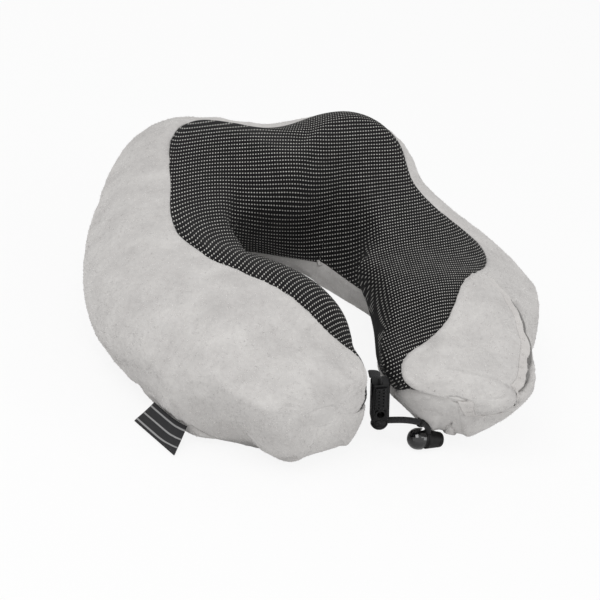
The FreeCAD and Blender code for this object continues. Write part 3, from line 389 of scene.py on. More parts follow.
CLASP_BLACK = plastic_finish("clasp_plastic", (0.004, 0.004, 0.0045), 0.36)
BUTTON_BLACK = plastic_finish("button_plastic", (0.005, 0.005, 0.0055), 0.28)
TOGGLE_MATT = plastic_finish("toggle_plastic", (0.006, 0.006, 0.006), 0.45)
TOGGLE_GLOSS = plastic_finish("toggle_gloss", (0.004, 0.004, 0.0045), 0.10, coat=0.6,
                              grain=0.05, shine=0.5)


def metal_finish(name, colour, roughness):
    finish = Finish(name, Metallic=1.0, Roughness=roughness)
    finish.colour(finish.ramp(finish.grain(700, 3), [(0.3, tuple(c * 0.85 for c in colour)),
                                                      (0.7, colour)]))
    finish.normal(finish.bump(finish.grain(3000, 2, (1, 6, 1)), 0.00008, 0.3))
    return finish.material


SPRING_STEEL = metal_finish("spring_wire", (0.55, 0.55, 0.56), 0.28)
ZIP_METAL = metal_finish("zip_metal", (0.62, 0.61, 0.60), 0.32)


def woven_finish(name, dark, light, pitch, stripes=False):
    """Plain weave on the piece's own map: u runs along the warp."""
    finish = Finish(name, Roughness=0.7, Sheen_Weight=0.1, Specular_IOR_Level=0.3)
    split = finish.flat_map()
    over = finish.weave(split.outputs[0], split.outputs[1], pitch)
    cloth = finish.ramp(over, [(0.2, dark), (0.8, light)])
    if stripes:
        band = finish.sum("PINGPONG", finish.sum("MULTIPLY", split.outputs[1], 1 / 0.0052), 0.5)
        edge = finish.ramp(band, [(0.40, (0, 0, 0)), (0.43, (1, 1, 1))])
        cloth = finish.mix(edge, cloth, (0.30, 0.30, 0.30))
    finish.colour(cloth)
    finish.normal(finish.bump(over, 0.0002, 0.7))
    return finish.material


WEBBING = woven_finish("webbing", (0.004, 0.004, 0.0045), (0.016, 0.016, 0.017), 0.0007)
TAB_CLOTH = woven_finish("woven_tab", (0.008, 0.008, 0.009), (0.028, 0.028, 0.03), 0.0005, True)
ZIP_CLOTH = woven_finish("zip_cloth", (0.42, 0.41, 0.40), (0.60, 0.59, 0.58), 0.0006)
THREAD = woven_finish("thread", (0.34, 0.33, 0.32), (0.52, 0.51, 0.50), 0.0004)
COIL_NYLON = plastic_finish("zip_coil", (0.48, 0.47, 0.46), 0.4)
FOAM = nap_finish("foam", (0.62, 0.57, 0.42), (0.74, 0.70, 0.55))
LINER = nap_finish("liner", (0.62, 0.62, 0.62), (0.74, 0.74, 0.74))


def braid_finish():
    finish = Finish("braid", Roughness=0.62, Sheen_Weight=0.12, Specular_IOR_Level=0.3)
    split = finish.flat_map()
    ways = [finish.sum(kind, split.outputs[0], split.outputs[1]) for kind in ("ADD", "SUBTRACT")]
    over = finish.weave(*ways, 0.00085)
    finish.colour(finish.ramp(over, [(0.2, (0.003, 0.003, 0.0035)), (0.8, (0.012, 0.012, 0.013))]))
    finish.normal(finish.bump(over, 0.0003, 0.8))
    return finish.material


BRAID = braid_finish()

# ---------------------------------------------------------------------------- the roll's shape

# Stations from the middle of the back to a lobe's tip, as the part has them, in millimetres and,
# for the seams, degrees. A fitting program outside this script found them; they were rounded to
# whole numbers, and a few at the right tip were then set by hand.
NAPE = {"across": 0, "along": 94, "half": 44, "ridge": 99, "waist": 59, "lean": -22,
        "neck_foot": -22, "outer_foot": 0, "top_seam": 68, "neck_seam": 236}
LOBES = {
    "left": {
        "across": [53, 85, 91, 67, 58], "along": [82, 37, -19, -78, -106],
        "half": [41, 40, 53, 58, 48], "ridge": [100, 88, 86, 89, 68],
        "waist": [62, 50, 42, 49, 54], "lean": [4, -4, 4, -6, 21],
        "neck_foot": [-6, 13, 1, -8, 32], "outer_foot": [-4, 14, 2, -9, 21],
        "top_seam": [71, 84, 85, 93, 150, 225], "neck_seam": [220, 200, 190, 200, 205, 206]},
    "right": {
        "across": [53, 74, 86, 64, 48], "along": [84, 46, -7, -64, -102],
        "half": [31, 33, 57, 46, 44], "ridge": [105, 87, 76, 82, 66],
        "waist": [60, 52, 50, 52, 50], "lean": [18, 7, -11, -4, 12],
        "neck_foot": [12, 8, -17, 2, -6], "outer_foot": [9, 11, -15, -16, -8],
        "top_seam": [56, 84, 62, 91, 124, 221], "neck_seam": [221, 217, 205, 215, 212, 190]},
}
ENDS = {"left": {"reach": 31, "droop": -8, "blunt": 0.65, "tuck": -0.1, "lift": 0, "heel": 0},
        "right": {"reach": 30, "droop": -2, "blunt": 0.7, "tuck": 0.7, "lift": 0.18, "heel": 16}}
SAG = 4.5
BASE_SEAM = 315
LAST_RUN = 5.965


def smooth(side, quantity, run):
    values = [NAPE[quantity]] + LOBES[side][quantity]
    other = LOBES["right" if side == "left" else "left"][quantity]
    before = -other[0] if quantity == "across" else other[0]
    row = [before] + values + [2 * values[-1] - values[-2]]
    place = min(int(run), len(values) - 2)
    f = run - place
    a, b, c, d = row[place:place + 4]
    square = 2 * a - 5 * b + 4 * c - d
    cube = 3 * b - a - 3 * c + d
    value = 0.5 * (2 * b + (c - a) * f + square * f * f + cube * f ** 3)
    slope = 0.5 * ((c - a) + 2 * square * f + 3 * cube * f * f)
    return value, slope


class Hoop:
    """A cross-section of the roll; place runs from the left tip to the right one."""

    def __init__(self, place):
        self.side = "right" if place >= 0 else "left"
        self.sign = 1 if place >= 0 else -1
        run = abs(place)
        self.run = run
        end = ENDS[self.side]
        m = min(run, 5.0)
        self.x, slope_x = smooth(self.side, "across", m)
        self.y, slope_y = smooth(self.side, "along", m)
        length = math.hypot(slope_x, slope_y)
        self.tx, self.ty = slope_x / length, slope_y / length
        self.half, self.lean, self.neck_foot, self.outer_foot, waist, ridge = (
            smooth(self.side, quantity, m)[0]
            for quantity in ("half", "lean", "neck_foot", "outer_foot", "waist", "ridge"))
        self.top_seam = smooth(self.side, "top_seam", run)[0]
        self.neck_seam = smooth(self.side, "neck_seam", run)[0]
        turn = math.radians(max(run - 5.0, 0) * 90)
        self.out = math.sin(turn)
        drop = end["droop"] * (1 - math.cos(turn))
        self.waist = waist + drop
        self.rise = ridge + drop - self.waist
        self.upper = max(math.cos(turn), 0) ** end["blunt"]
        lift = end["lift"] * max(m - 4, 0) ** 2
        self.lower = self.upper * (1 - end["tuck"] * self.out ** 2) * (1 - lift)
        self.heel = end["heel"] * min(max(run - 4, 0), 1) ** 1.5
        self.reach = end["reach"]

    def points(self, angles, depth=0.0):
        """Points in metres at angles round the roll, at a depth in millimetres below its face."""
        turn = np.radians(np.asarray(angles, float))
        c = np.cos(turn)
        q = np.sin(turn)
        low = q < 0
        fall = np.abs(np.minimum(q, 0))
        up = self.waist + self.upper * (self.rise - depth) * np.maximum(q, 0) ** 0.89
        drop = np.minimum((self.waist + SAG - depth) * fall ** 1.05, self.waist - depth)
        z = np.where(low, self.waist - self.lower * drop, up)
        blend = fall ** 1.5
        spread = self.upper * (1 - blend) + self.lower * blend
        foot = np.where(c > 0, self.outer_foot, self.neck_foot)
        lean = np.where(low, foot, self.lean)
        n = spread * (self.half - depth) * np.sign(c) * np.abs(c) ** 1.04
        n = n + lean * (z - self.waist) / 60
        below = np.maximum(self.waist - z, 0) / self.waist
        n = n + np.where(low & (c < 0), self.heel * below ** 3, 0)
        reach = (self.reach - depth) * self.out
        x = self.x + self.tx * reach - self.ty * n
        y = self.y + self.ty * reach + self.tx * n
        return np.stack([x * self.sign - 0.2, y + 1.4, z], -1) / 1000

    def turn(self, angle, length):
        a, b = self.points([angle - 0.5, angle + 0.5])
        return length / max(np.linalg.norm(a - b) * 1000, 0.05)


def ease(value, start, end):
    share = min(max((value - start) / (end - start), 0), 1)
    return share * share * (3 - 2 * share)


def top_edge(hoop):
    return min(hoop.top_seam, hoop.neck_seam)


# Pocket mouth on the right lobe: run and angle, in degrees.
MOUTH = [(3.62, 64), (3.92, 48), (4.31, 36), (4.61, 30), (5.15, 32), (5.46, 26), (5.6, -64),
         (6.0, -68)]


def mouth(hoop):
    for (run0, angle0), (run1, angle1) in zip(MOUTH, MOUTH[1:]):
        if hoop.run <= run1:
            share = (hoop.run - run0) / (run1 - run0)
            share = share * share * (3 - 2 * share)
            return angle0 + (angle1 - angle0) * share
    return MOUTH[-1][1]


def places_between(first, last, step=0.045):
    count = int(round((last - first) / step))
    return np.linspace(first, last, count + 1)


# ---------------------------------------------------------------------------- stuffing

SWELL_PLACES = np.linspace(-5.9, 5.9, 133)
SWELL_ANGLES = np.arange(0, 360, 6.0)
REST_DEPTH = 1.2
MOST_OUT, MOST_IN, MOST_ALONG = 0.0035, 0.0007, 0.0008
LAST_STEP = 20


def roll_points(hoop, angles, depth=REST_DEPTH):
    """The slack cover's place: a little inside its face, but down on the floor below."""
    points = hoop.points(angles, depth)
    q = np.sin(np.radians(np.asarray(angles, float)))
    level = np.clip((-q - 0.55) / 0.35, 0, 1)
    points[:, 2] -= depth / 1000 * level * level * (3 - 2 * level)
    return points


def ways_out(shape, centres, closed=False):
    """Unit vectors out of the roll at the points of a grid."""
    ring = np.concatenate([shape[:, -1:], shape, shape[:, :1]], 1) if closed else shape
    around = np.gradient(ring, axis=1)
    around = around[:, 1:-1] if closed else around
    out = np.cross(np.gradient(shape, axis=0), around)
    out /= np.maximum(np.linalg.norm(out, axis=2, keepdims=True), 1e-12)
    return out * np.sign(((shape - centres[:, None]) * out).sum(2).mean())


def stuff_the_roll():
    """Air pressure on the cover, held at its seams; gives how far each grid point moves."""
    rings = []
    hold = []
    for place in SWELL_PLACES:
        hoop = Hoop(place)
        rings.append(roll_points(hoop, SWELL_ANGLES))
        held = np.zeros(len(SWELL_ANGLES))
        for seam in (top_edge(hoop), hoop.neck_seam, BASE_SEAM):
            away = np.abs((SWELL_ANGLES - seam + 180) % 360 - 180)
            held = np.maximum(held, np.clip(1.6 - away / 4, 0, 1))
        resting = np.sin(np.radians(SWELL_ANGLES)) < -0.93
        held[resting] = 1
        if abs(place) > 5.75:
            held[:] = 1
        hold.append(held)
    rings = np.array(rings)
    start = rings.reshape(-1, 3)
    mesh = grid_mesh("swell", rings, wrap=True, caps=True)
    work = bpy.data.objects.new("swell", mesh)
    bpy.context.scene.collection.objects.link(work)
    group = work.vertex_groups.new(name="held")
    for index, weight in enumerate(np.array(hold).ravel()):
        if weight > 0:
            group.add([index], float(weight), "REPLACE")
    group.add([len(start), len(start) + 1], 1.0, "REPLACE")
    cloth = work.modifiers.new("cloth", "CLOTH")
    for key, value in (("quality", 6), ("mass", 0.25), ("tension_stiffness", 14),
                       ("compression_stiffness", 14), ("shear_stiffness", 8),
                       ("bending_stiffness", 0.6), ("vertex_group_mass", "held"),
                       ("use_pressure", True), ("uniform_pressure_force", 4),
                       ("shrink_min", -0.035)):
        setattr(cloth.settings, key, value)
    cloth.settings.effector_weights.gravity = 0
    cloth.point_cache.frame_start = 1
    cloth.point_cache.frame_end = LAST_STEP
    scene = bpy.context.scene
    for step in range(1, LAST_STEP + 1):
        scene.frame_set(step)
    depsgraph = bpy.context.evaluated_depsgraph_get()
    result = work.evaluated_get(depsgraph).to_mesh()
    moved = np.empty(len(result.vertices) * 3, np.float32)
    result.vertices.foreach_get("co", moved)
    moved = moved.reshape(-1, 3)[:len(start)] - start
    scene.frame_set(1)
    bpy.data.objects.remove(work)
    moved = moved.reshape(rings.shape)
    out = ways_out(rings, rings.mean(1), closed=True)
    rise = (moved * out).sum(2, keepdims=True)
    slide = moved - rise * out
    rise = np.where(rise > 0, MOST_OUT * np.tanh(rise / MOST_OUT),
                    MOST_IN * np.tanh(rise / MOST_IN))
    length = np.linalg.norm(slide, axis=2, keepdims=True)
    slide *= MOST_ALONG * np.tanh(length / 0.002) / np.maximum(length, 1e-9)
    slide[np.abs(SWELL_PLACES) > 5.3] = 0
    return rise * out + slide


# Without the stuffing, the cover keeps its slack place.
SWELL = stuff_the_roll()


def swell_at(place, angles):
    """How far the stuffing moves the cover at angles round the roll."""
    across = np.clip((place - SWELL_PLACES[0]) / (SWELL_PLACES[1] - SWELL_PLACES[0]), 0,
                     len(SWELL_PLACES) - 1.001)
    i = int(across)
    f = across - i
    row = SWELL[i] * (1 - f) + SWELL[i + 1] * f
    at = (np.asarray(angles, float) % 360) / 6.0
    j = at.astype(int) % len(SWELL_ANGLES)
    g = (at - at.astype(int))[:, None]
    # a cubic run between grid points keeps the swell free of creases
    a, b, c, d = (row[(j + near) % len(SWELL_ANGLES)] for near in (-1, 0, 1, 2))
    return 0.5 * (2 * b + (c - a) * g + (2 * a - 5 * b + 4 * c - d) * g ** 2
                  + (3 * b - a - 3 * c + d) * g ** 3)


def ripple(point, scale, seed):
    return noise.noise(Vector(point) * scale + Vector((seed, seed * 1.7, seed * 0.3)))


# ---------------------------------------------------------------------------- cover panels

OFF_FLOOR, WALL_OFF_FLOOR = 0.00005, 0.00002


def evenly(points, count):
    """The same line with its points set at even steps."""
    run = np.concatenate([[0], np.cumsum(np.linalg.norm(np.diff(points, axis=0), axis=1))])
    steps = np.linspace(0, run[-1], count)
    return np.stack([np.interp(steps, run, points[:, k]) for k in range(3)], 1)


def ease_grid(shape, rounds, reach=None):
    """Even out a grid, everywhere or only where it lies lower than reach."""
    for _ in range(rounds):
        inner = shape[1:-1, 1:-1]
        middle = (shape[1:-1, :-2] + shape[1:-1, 2:] + shape[:-2, 1:-1] + shape[2:, 1:-1]) / 4
        shape[1:-1, 1:-1] = (middle if reach is None
                             else np.where(inner[:, :, 2:] < reach, middle, inner))
        if reach is None:
            edges = shape[:, [0, -1]]
            shape[1:-1, [0, -1]] = (edges[:-2] + 2 * edges[1:-1] + edges[2:]) / 4


def panel(name, finish, places, low, high, count, thickness, rise=0.0, roll=0.0016,
          roll_width=0.0045, ripples=0.0006, slot=None, low_roll=None, high_roll=None, lift=None,
          even=False, smoothing=0):
    """A cut of the cover: stuffed, rippled, and rolled in towards the seams at its edges.

    low and high give its edges as angles round each hoop, rise its place above the cover in
    metres; low_roll and high_roll give the share of roll at an edge, lift a further rise.
    """
    hoops = [Hoop(place) for place in places]
    shape = []
    raised = np.zeros((len(places), count))
    for row, (place, hoop) in enumerate(zip(places, hoops)):
        angles = np.linspace(low(hoop), high(hoop), count * 5 if even else count)
        points = roll_points(hoop, angles, REST_DEPTH - rise * 1000) + swell_at(place, angles)
        shape.append(evenly(points, count) if even else points)
        if lift is not None:
            raised[row] = [lift(hoop, angle) for angle in angles]
    shape = np.array(shape)
    centres = np.array([hoop.points([90, 270], 0).mean(0) for hoop in hoops])
    out = ways_out(shape, centres)
    steps = np.linalg.norm(np.diff(shape, axis=1), axis=2)
    span = np.concatenate([np.zeros((len(places), 1)), np.cumsum(steps, 1)], 1)
    total = span[:, -1:]
    push = np.zeros(span.shape)
    for row in range(span.shape[0]):
        for column in range(span.shape[1]):
            point = shape[row, column]
            push[row, column] = (ripple(point, 28, 3) + 0.5 * ripple(point, 75, 11)
                                 + 0.35 * abs(ripple(point, 46, 23)))
    push *= ripples
    for away, share in ((span, low_roll), (total - span, high_roll)):
        rolled = np.array([[1.0 if share is None else share(hoop)] for hoop in hoops])
        push -= roll * rolled * np.clip(1 - away / roll_width, 0, 1) ** 2
    push += raised
    ground = np.clip(shape[:, :, 2] / 0.004, 0, 1)
    shape = shape + out * (push * ground)[:, :, None]
    shape[:, :, 2] = np.maximum(shape[:, :, 2], OFF_FLOOR)
    ease_grid(shape, 25 if even else 0, 0.0003)
    ease_grid(shape, smoothing)
    mesh = grid_mesh(name, shape, cut_map(shape, out))
    if faces_inwards(mesh, out):
        mesh.flip_normals()
    if slot:
        open_slot(mesh, slot)
    SKINS[name] = mesh.copy()
    piece = thicken(add_piece(name, mesh, finish), thickness)
    for vert in piece.data.vertices:
        vert.co.z = max(vert.co.z, WALL_OFF_FLOOR)
    return piece


CLOTH_FRONT = (-0.44, -0.74, 0.50)  # towards the camera; the terms hold on cloth that faces it
TURNED_AWAY = 0.25  # how far past edge-on the terms are still trusted a little
# A fitting program outside this script found these terms by least squares; they weren't chosen by
# hand. They are powers of x, y and z, then repeats across and along the cloth.
CUT_TERMS = [
    (0, 0, 1, 15.1, -28.1),
    (0, 0, 2, 4.5, 4.5),
    (0, 0, 3, -0.9, 3.1),
    (0, 1, 0, -17.9, -30.4),
    (0, 1, 1, -1.8, -11.4),
    (0, 1, 2, -1.2, -9.3),
    (0, 2, 0, -2.5, 12.2),
    (0, 2, 1, -1.7, -10.9),
    (0, 3, 0, -0.5, 6.4),
    (1, 0, 0, 55.7, -0.2),
    (1, 0, 1, 0.7, 10.6),
    (1, 0, 2, -11.6, -20.5),
    (1, 1, 0, -8.2, -5.8),
    (1, 1, 1, 15.3, 9.4),
    (1, 2, 0, 6.1, 5.8),
    (2, 0, 0, 4.1, 10.1),
    (2, 0, 1, -12.1, -34.7),
    (2, 1, 0, -1.9, 9.2),
    (3, 0, 0, 1.7, 4.4),
]


def cut_map(shape, out):
    """Where each point lies on the flat cloth, in metres.

    The terms hold where the cloth faces the camera; from there it runs straight on over the roll.
    """
    x, y, z = np.moveaxis((shape - (0, 0.02, 0.05)) / 0.1, -1, 0)
    flat = np.zeros(shape.shape[:2] + (2,))
    for i, j, k, across, along in CUT_TERMS:
        term = x ** i * y ** j * z ** k
        flat[..., 0] += across * term * KNIT_ACROSS
        flat[..., 1] += along * term * KNIT_ALONG
    facing = out @ np.array(CLOTH_FRONT)
    best = np.convolve(np.pad(np.argmax(facing, 1), 12, "edge"), np.ones(25) / 25, "valid")
    real = np.linalg.norm(np.diff(shape, axis=1), axis=2)
    laid = flat.copy()
    for row in range(len(shape)):
        start = int(round(best[row]))
        for step, shortest in ((1, 0.3), (-1, 0.6)):
            heading = None
            trust = 1.0
            column = start
            while 0 <= column + step < shape.shape[1]:
                ahead = flat[row, column + step] - flat[row, column]
                length = max(np.linalg.norm(ahead), 1e-9)
                far = real[row, min(column, column + step)]
                seen = min((facing[row, column] + TURNED_AWAY) / TURNED_AWAY,
                           (length / far - shortest) / 0.2)
                trust = min(trust, max(seen, 0))
                turn = ahead / length
                heading = turn if heading is None else turn * trust + heading * (1 - trust)
                heading = heading / max(np.linalg.norm(heading), 1e-9)
                laid[row, column + step] = (laid[row, column]
                                            + heading * (length * trust + far * (1 - trust)))
                column += step
    return laid


def faces_inwards(mesh, out):
    face = mesh.polygons[len(mesh.polygons) // 2]
    return Vector(out.reshape(-1, 3)[face.vertices[0]]).dot(face.normal) < 0


SKINS = {}
COVER_PLACES = places_between(-LAST_RUN, LAST_RUN)


def run_where_narrow(side_sign, width):
    """The run at which the knit narrows to a width in degrees."""
    low, high = 5.0, 5.9
    for _ in range(30):
        middle = (low + high) / 2
        hoop = Hoop(middle * side_sign)
        if hoop.neck_seam - hoop.top_seam > width:
            low = middle
        else:
            high = middle
    return low


def ride_pillow(piece, finish_slot, *nodes):
    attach(piece, "pillow")
    if nodes:
        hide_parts(*nodes)
    return piece


OVERLAP = -0.25  # millimetres past a seam
DEGREE = 0.8  # millimetres, about, of a degree round the right lobe


def base_edge(hoop):
    """The base panel's outer seam, which slips underneath at the lobes' round ends."""
    return BASE_SEAM - 27 * ease(hoop.run, 4.15, 4.9)


def lower_seam(hoop):
    return hoop.neck_seam + hoop.turn(hoop.neck_seam, OVERLAP)


def tip_fade(hoop):
    """Seams between plush and plush are hidden in the nap at the lobes' round ends."""
    return 1 - ease(hoop.run, 5.45, 5.6)


def foot_fade(hoop):
    return 1 - ease(hoop.run, 4.2, 4.8)


def lip(hoop, angle):
    """The cover dips at the pocket's mouth and swells up beside it."""
    if hoop.sign < 0 or hoop.run < 3.5:
        return 0.0
    away = (mouth(hoop) - angle) * DEGREE
    where = ease(hoop.run, 3.5, 3.9) * (1 - ease(hoop.run, 5.42, 5.56))
    dip = 0.0017 * ease(away, -4, -1) * (1 - ease(away, 4.5, 7.5))
    swollen = 0.0030 * ease(away, 4.5, 9) * (1 - ease(away, 12, 38))
    return (swollen - dip) * where


def gape(hoop, angle):
    """The pocket's mouth stands a little open."""
    away = (angle - mouth(hoop)) * DEGREE
    where = ease(hoop.run, 3.6, 4.0) * (1 - ease(hoop.run, 5.3, 5.5))
    return 0.0020 * (1 - ease(away, 0, 9)) * where


def hem_edge(hoop):
    return mouth(hoop) + hoop.turn(mouth(hoop), 5)


knit = panel("knit_panel", KNIT, places_between(-run_where_narrow(-1, 6), run_where_narrow(1, 6)),
             lambda h: h.top_seam + h.turn(h.top_seam, OVERLAP),
             lambda h: h.neck_seam - h.turn(h.neck_seam, OVERLAP), 96, 0.0012, ripples=0.0003,
             roll=0.0012, smoothing=10)
ride_pillow(knit, "dotted_knit", "neck_panel")

outer = panel("outer_plush", PLUSH, COVER_PLACES,
              lambda h: base_edge(h) - 360 + h.turn(BASE_SEAM - 360, OVERLAP),
              lambda h: top_edge(h) - h.turn(top_edge(h), OVERLAP), 130, 0.0014,
              low_roll=foot_fade, high_roll=tip_fade, lift=lip)
ride_pillow(outer, "plush", "outer_panel")

POCKET_PLACES = places_between(3.66, LAST_RUN, 0.02)
pocket = panel("pocket_plush", PLUSH, POCKET_PLACES,
               lambda h: hem_edge(h) + h.turn(hem_edge(h), OVERLAP),
               lambda h: top_edge(h) - h.turn(top_edge(h), 0.3), 84, 0.0011, rise=0.0015,
               roll=0.0013, low_roll=lambda h: 0.2, high_roll=tip_fade, lift=gape)
ride_pillow(pocket, "plush", "pocket_panel")

hem = panel("pocket_hem_roll", HEM, POCKET_PLACES, mouth, hem_edge, 14, 0.0014, rise=0.0017,
            roll=0.0009, roll_width=0.0018, ripples=0.0005, low_roll=tip_fade,
            high_roll=lambda h: 0.3, lift=gape)
ride_pillow(hem, "plush", "pocket_hem")

# A dark strip under the pocket's mouth: painted shade for the mouth's shadowed crevice, not a real
# part of the cover.
mouth_shade_strip = panel("pocket_mouth_shade", MOUTH_SHADE, places_between(3.72, 5.42, 0.02),
                lambda h: mouth(h) - 3.0 * ease(h.run, 3.72, 4.2) * (1 - ease(h.run, 5.2, 5.42)),
                lambda h: mouth(h) + 3, 8, 0.0005, rise=0.0013, roll=0.0005, roll_width=0.0015,
                ripples=0.0005, high_roll=lambda h: 0.0, lift=gape)
ride_pillow(mouth_shade_strip, "webbing")

# ---------------------------------------------------------------------------- base, liner, foam

ZIP_CENTRE = Vector((-0.0097, 0.0394, 0))
ZIP_BEND = 0.067
ARC_DEGREE = 0.00117  # length of a degree on the arc
SLOT_FROM, SLOT_TO = 46.5, 123.5  # the opening's ends, as turns round the arc
SLOT_HEIGHT = 0.004  # the opening lies below this
SLOT_HALF, BED_HALF = 0.0039, 0.0053  # half widths of the opening and of the bed above the zip
LINER_DEPTH, LINER_ROOF = 3.2, 0.0049  # millimetres under the face; metres over the zip
FOAM_DEPTH, FOAM_ROOF = 4.2, 0.0060


def arc_point(angle, radius, height):
    turn = math.radians(angle)
    return ZIP_CENTRE + Vector((math.cos(turn) * radius, math.sin(turn) * radius, height))


def from_arc(point):
    """Angle round the zip's arc and distance from the arc's line."""
    way = point - ZIP_CENTRE
    return math.degrees(math.atan2(way.y, way.x)), math.hypot(way.x, way.y) - ZIP_BEND


def open_slot(mesh, half):
    """Open a skin along the zip's arc and draw the opening's edge straight."""
    def in_slot(middle):
        turn, off = from_arc(middle)
        return middle.z < SLOT_HEIGHT and abs(off) < half and SLOT_FROM < turn < SLOT_TO

    def straighten(work):
        for edge in work.edges:
            for vert in edge.verts if edge.is_boundary else ():
                turn, off = from_arc(vert.co)
                if (vert.co.z > SLOT_HEIGHT or abs(off) > half + 0.004
                        or not SLOT_FROM - 3 < turn < SLOT_TO + 3):
                    continue
                if SLOT_FROM + 1 < turn < SLOT_TO - 1:
                    off = math.copysign(half, off)
                else:
                    turn = SLOT_FROM if turn < 90 else SLOT_TO
                    off = max(-half, min(half, off))
                vert.co = arc_point(turn, ZIP_BEND + off, vert.co.z)

    rework(mesh, lambda work: drop_faces(work, in_slot), straighten)


def raise_bed(mesh, half, roof):
    """Lift the underside over the zip, so the zip lies in a shallow bed."""
    for vert in mesh.vertices:
        turn, off = from_arc(vert.co)
        beyond = max(abs(off) - half, 0, (SLOT_FROM - turn) * ARC_DEGREE,
                     (turn - SLOT_TO) * ARC_DEGREE)
        if vert.co.z < roof:
            vert.co.z = max(vert.co.z, roof - beyond * 0.9)


def tip_patch(sign):
    """Small round patch where the cover's folds meet at a lobe's end."""
    angles = np.arange(0, 360, 10.0)
    edge = Hoop(sign * 5.95).points(angles, REST_DEPTH - 0.1)
    middle = edge.mean(0)
    ahead = middle - Hoop(sign * 5.6).points(angles, REST_DEPTH).mean(0)
    ahead /= np.linalg.norm(ahead)
    rows = [Hoop(sign * 5.88).points(angles, REST_DEPTH + 0.9)]
    rows += [edge + (middle - edge) * share + ahead * 0.0012 * (1 - (1 - share) ** 2)
             for share in (-0.04, 0.2, 0.45, 0.7, 0.9)]
    mesh = grid_mesh("tip_patch_" + ("right" if sign > 0 else "left"), np.array(rows),
                     wrap=True, caps=True)
    face_out(mesh)
    return ride_pillow(add_piece(mesh.name, mesh, PLUSH), "plush")


tip_patch(-1)
tip_patch(1)

base = panel("base_plush", PLUSH, COVER_PLACES, lower_seam,
             lambda h: base_edge(h) - h.turn(BASE_SEAM, OVERLAP), 100, 0.0014, ripples=0.0004,
             slot=SLOT_HALF, low_roll=tip_fade, high_roll=foot_fade, even=True)
ride_pillow(base, "plush", "base_panel")


def inner_roll(name, finish, depth, roof, count=90):
    rings = [Hoop(p).points(np.linspace(0, 360, count, endpoint=False), depth)
             for p in places_between(-5.95, 5.95, 0.05)]
    mesh = grid_mesh(name, np.array(rings), wrap=True, caps=True)
    raise_bed(mesh, BED_HALF, roof)
    face_out(mesh)
    return add_piece(name, mesh, finish)


liner = thicken(inner_roll("liner_sleeve", LINER, LINER_DEPTH, LINER_ROOF), 0.0006)
ride_pillow(liner, "liner", "inner_liner")
foam = inner_roll("foam_roll", FOAM, FOAM_DEPTH, FOAM_ROOF)
ride_pillow(foam, "foam", "foam_core")

# ---------------------------------------------------------------------------- repeats

class Repeat:
    """A node tree that repeats a small shape over a mesh."""

    def __init__(self, name, inputs):
        self.tree = bpy.data.node_groups.new(name, "GeometryNodeTree")
        sides = self.tree.interface
        sides.new_socket("Geometry", in_out="INPUT", socket_type="NodeSocketGeometry")
        self.sockets = {}
        for label, kind, value in inputs + [("Finish", "Material", None)]:
            socket = sides.new_socket(label, in_out="INPUT", socket_type="NodeSocket" + kind)
            if value is not None:
                socket.default_value = value
            self.sockets[label] = socket.identifier
        sides.new_socket("Geometry", in_out="OUTPUT", socket_type="NodeSocketGeometry")
        self.given = self.node("NodeGroupInput").outputs
        self.leave = self.node("NodeGroupOutput")

    def node(self, kind, values=None, **modes):
        node = self.tree.nodes.new(kind)
        for key, value in modes.items():
            setattr(node, key, value)
        for key, value in (values or {}).items():
            node.inputs[key].default_value = value
        return node

    def join(self, *pairs):
        for source, target in pairs:
            self.tree.links.new(source, target)

    def place(self, points, shape, turn, sizes, vary=None):
        """Set the shape at every point, turned and sized, and give it its finish."""
        size = self.node("ShaderNodeCombineXYZ")
        self.join(*((self.given[label], target) for label, target in zip(sizes, size.inputs)))
        if vary is not None:
            grown = self.node("ShaderNodeVectorMath", operation="SCALE")
            self.join((size.outputs[0], grown.inputs[0]), (vary, grown.inputs["Scale"]))
            size = grown
        put = self.node("GeometryNodeInstanceOnPoints")
        real = self.node("GeometryNodeRealizeInstances")
        paint = self.node("GeometryNodeSetMaterial")
        self.join((points, put.inputs["Points"]), (shape.outputs[0], put.inputs["Instance"]),
                  (turn, put.inputs["Rotation"]), (size.outputs[0], put.inputs["Scale"]),
                  (put.outputs[0], real.inputs[0]), (real.outputs[0], paint.inputs[0]),
                  (self.given["Finish"], paint.inputs["Material"]),
                  (paint.outputs[0], self.leave.inputs[0]))
        return self


def stitch_tree():
    """Rounded stitches set along a line of points, each along the line."""
    tree = Repeat("stitches", [("Pitch", "Float", 0.003), ("Length", "Float", 0.002),
                               ("Girth", "Float", 0.0006)])
    line = tree.node("GeometryNodeMeshToCurve")
    points = tree.node("GeometryNodeCurveToPoints", mode="LENGTH")
    bead = tree.node("GeometryNodeMeshUVSphere", {"Segments": 8, "Rings": 5, "Radius": 0.5})
    tree.join((tree.given["Geometry"], line.inputs[0]), (line.outputs[0], points.inputs["Curve"]),
              (tree.given["Pitch"], points.inputs["Length"]))
    return tree.place(points.outputs["Points"], bead, points.outputs["Rotation"],
                      ("Girth", "Girth", "Length"))


def tooth_tree():
    """A nylon tooth at every point, laid across the zip's arc."""
    tree = Repeat("zip_teeth", [("Reach", "Float", 0.0026), ("Girth", "Float", 0.0007),
                                ("Centre", "Vector", None)])
    tooth = tree.node("GeometryNodeMeshUVSphere", {"Segments": 8, "Rings": 6, "Radius": 0.5})
    where = tree.node("GeometryNodeInputPosition")
    away = tree.node("ShaderNodeVectorMath", operation="SUBTRACT")
    turn = tree.node("FunctionNodeAlignRotationToVector", axis="X")
    tree.join((where.outputs[0], away.inputs[0]), (tree.given["Centre"], away.inputs[1]),
              (away.outputs[0], turn.inputs["Vector"]))
    return tree.place(tree.given["Geometry"], tooth, turn.outputs[0], ("Reach", "Girth", "Girth"))


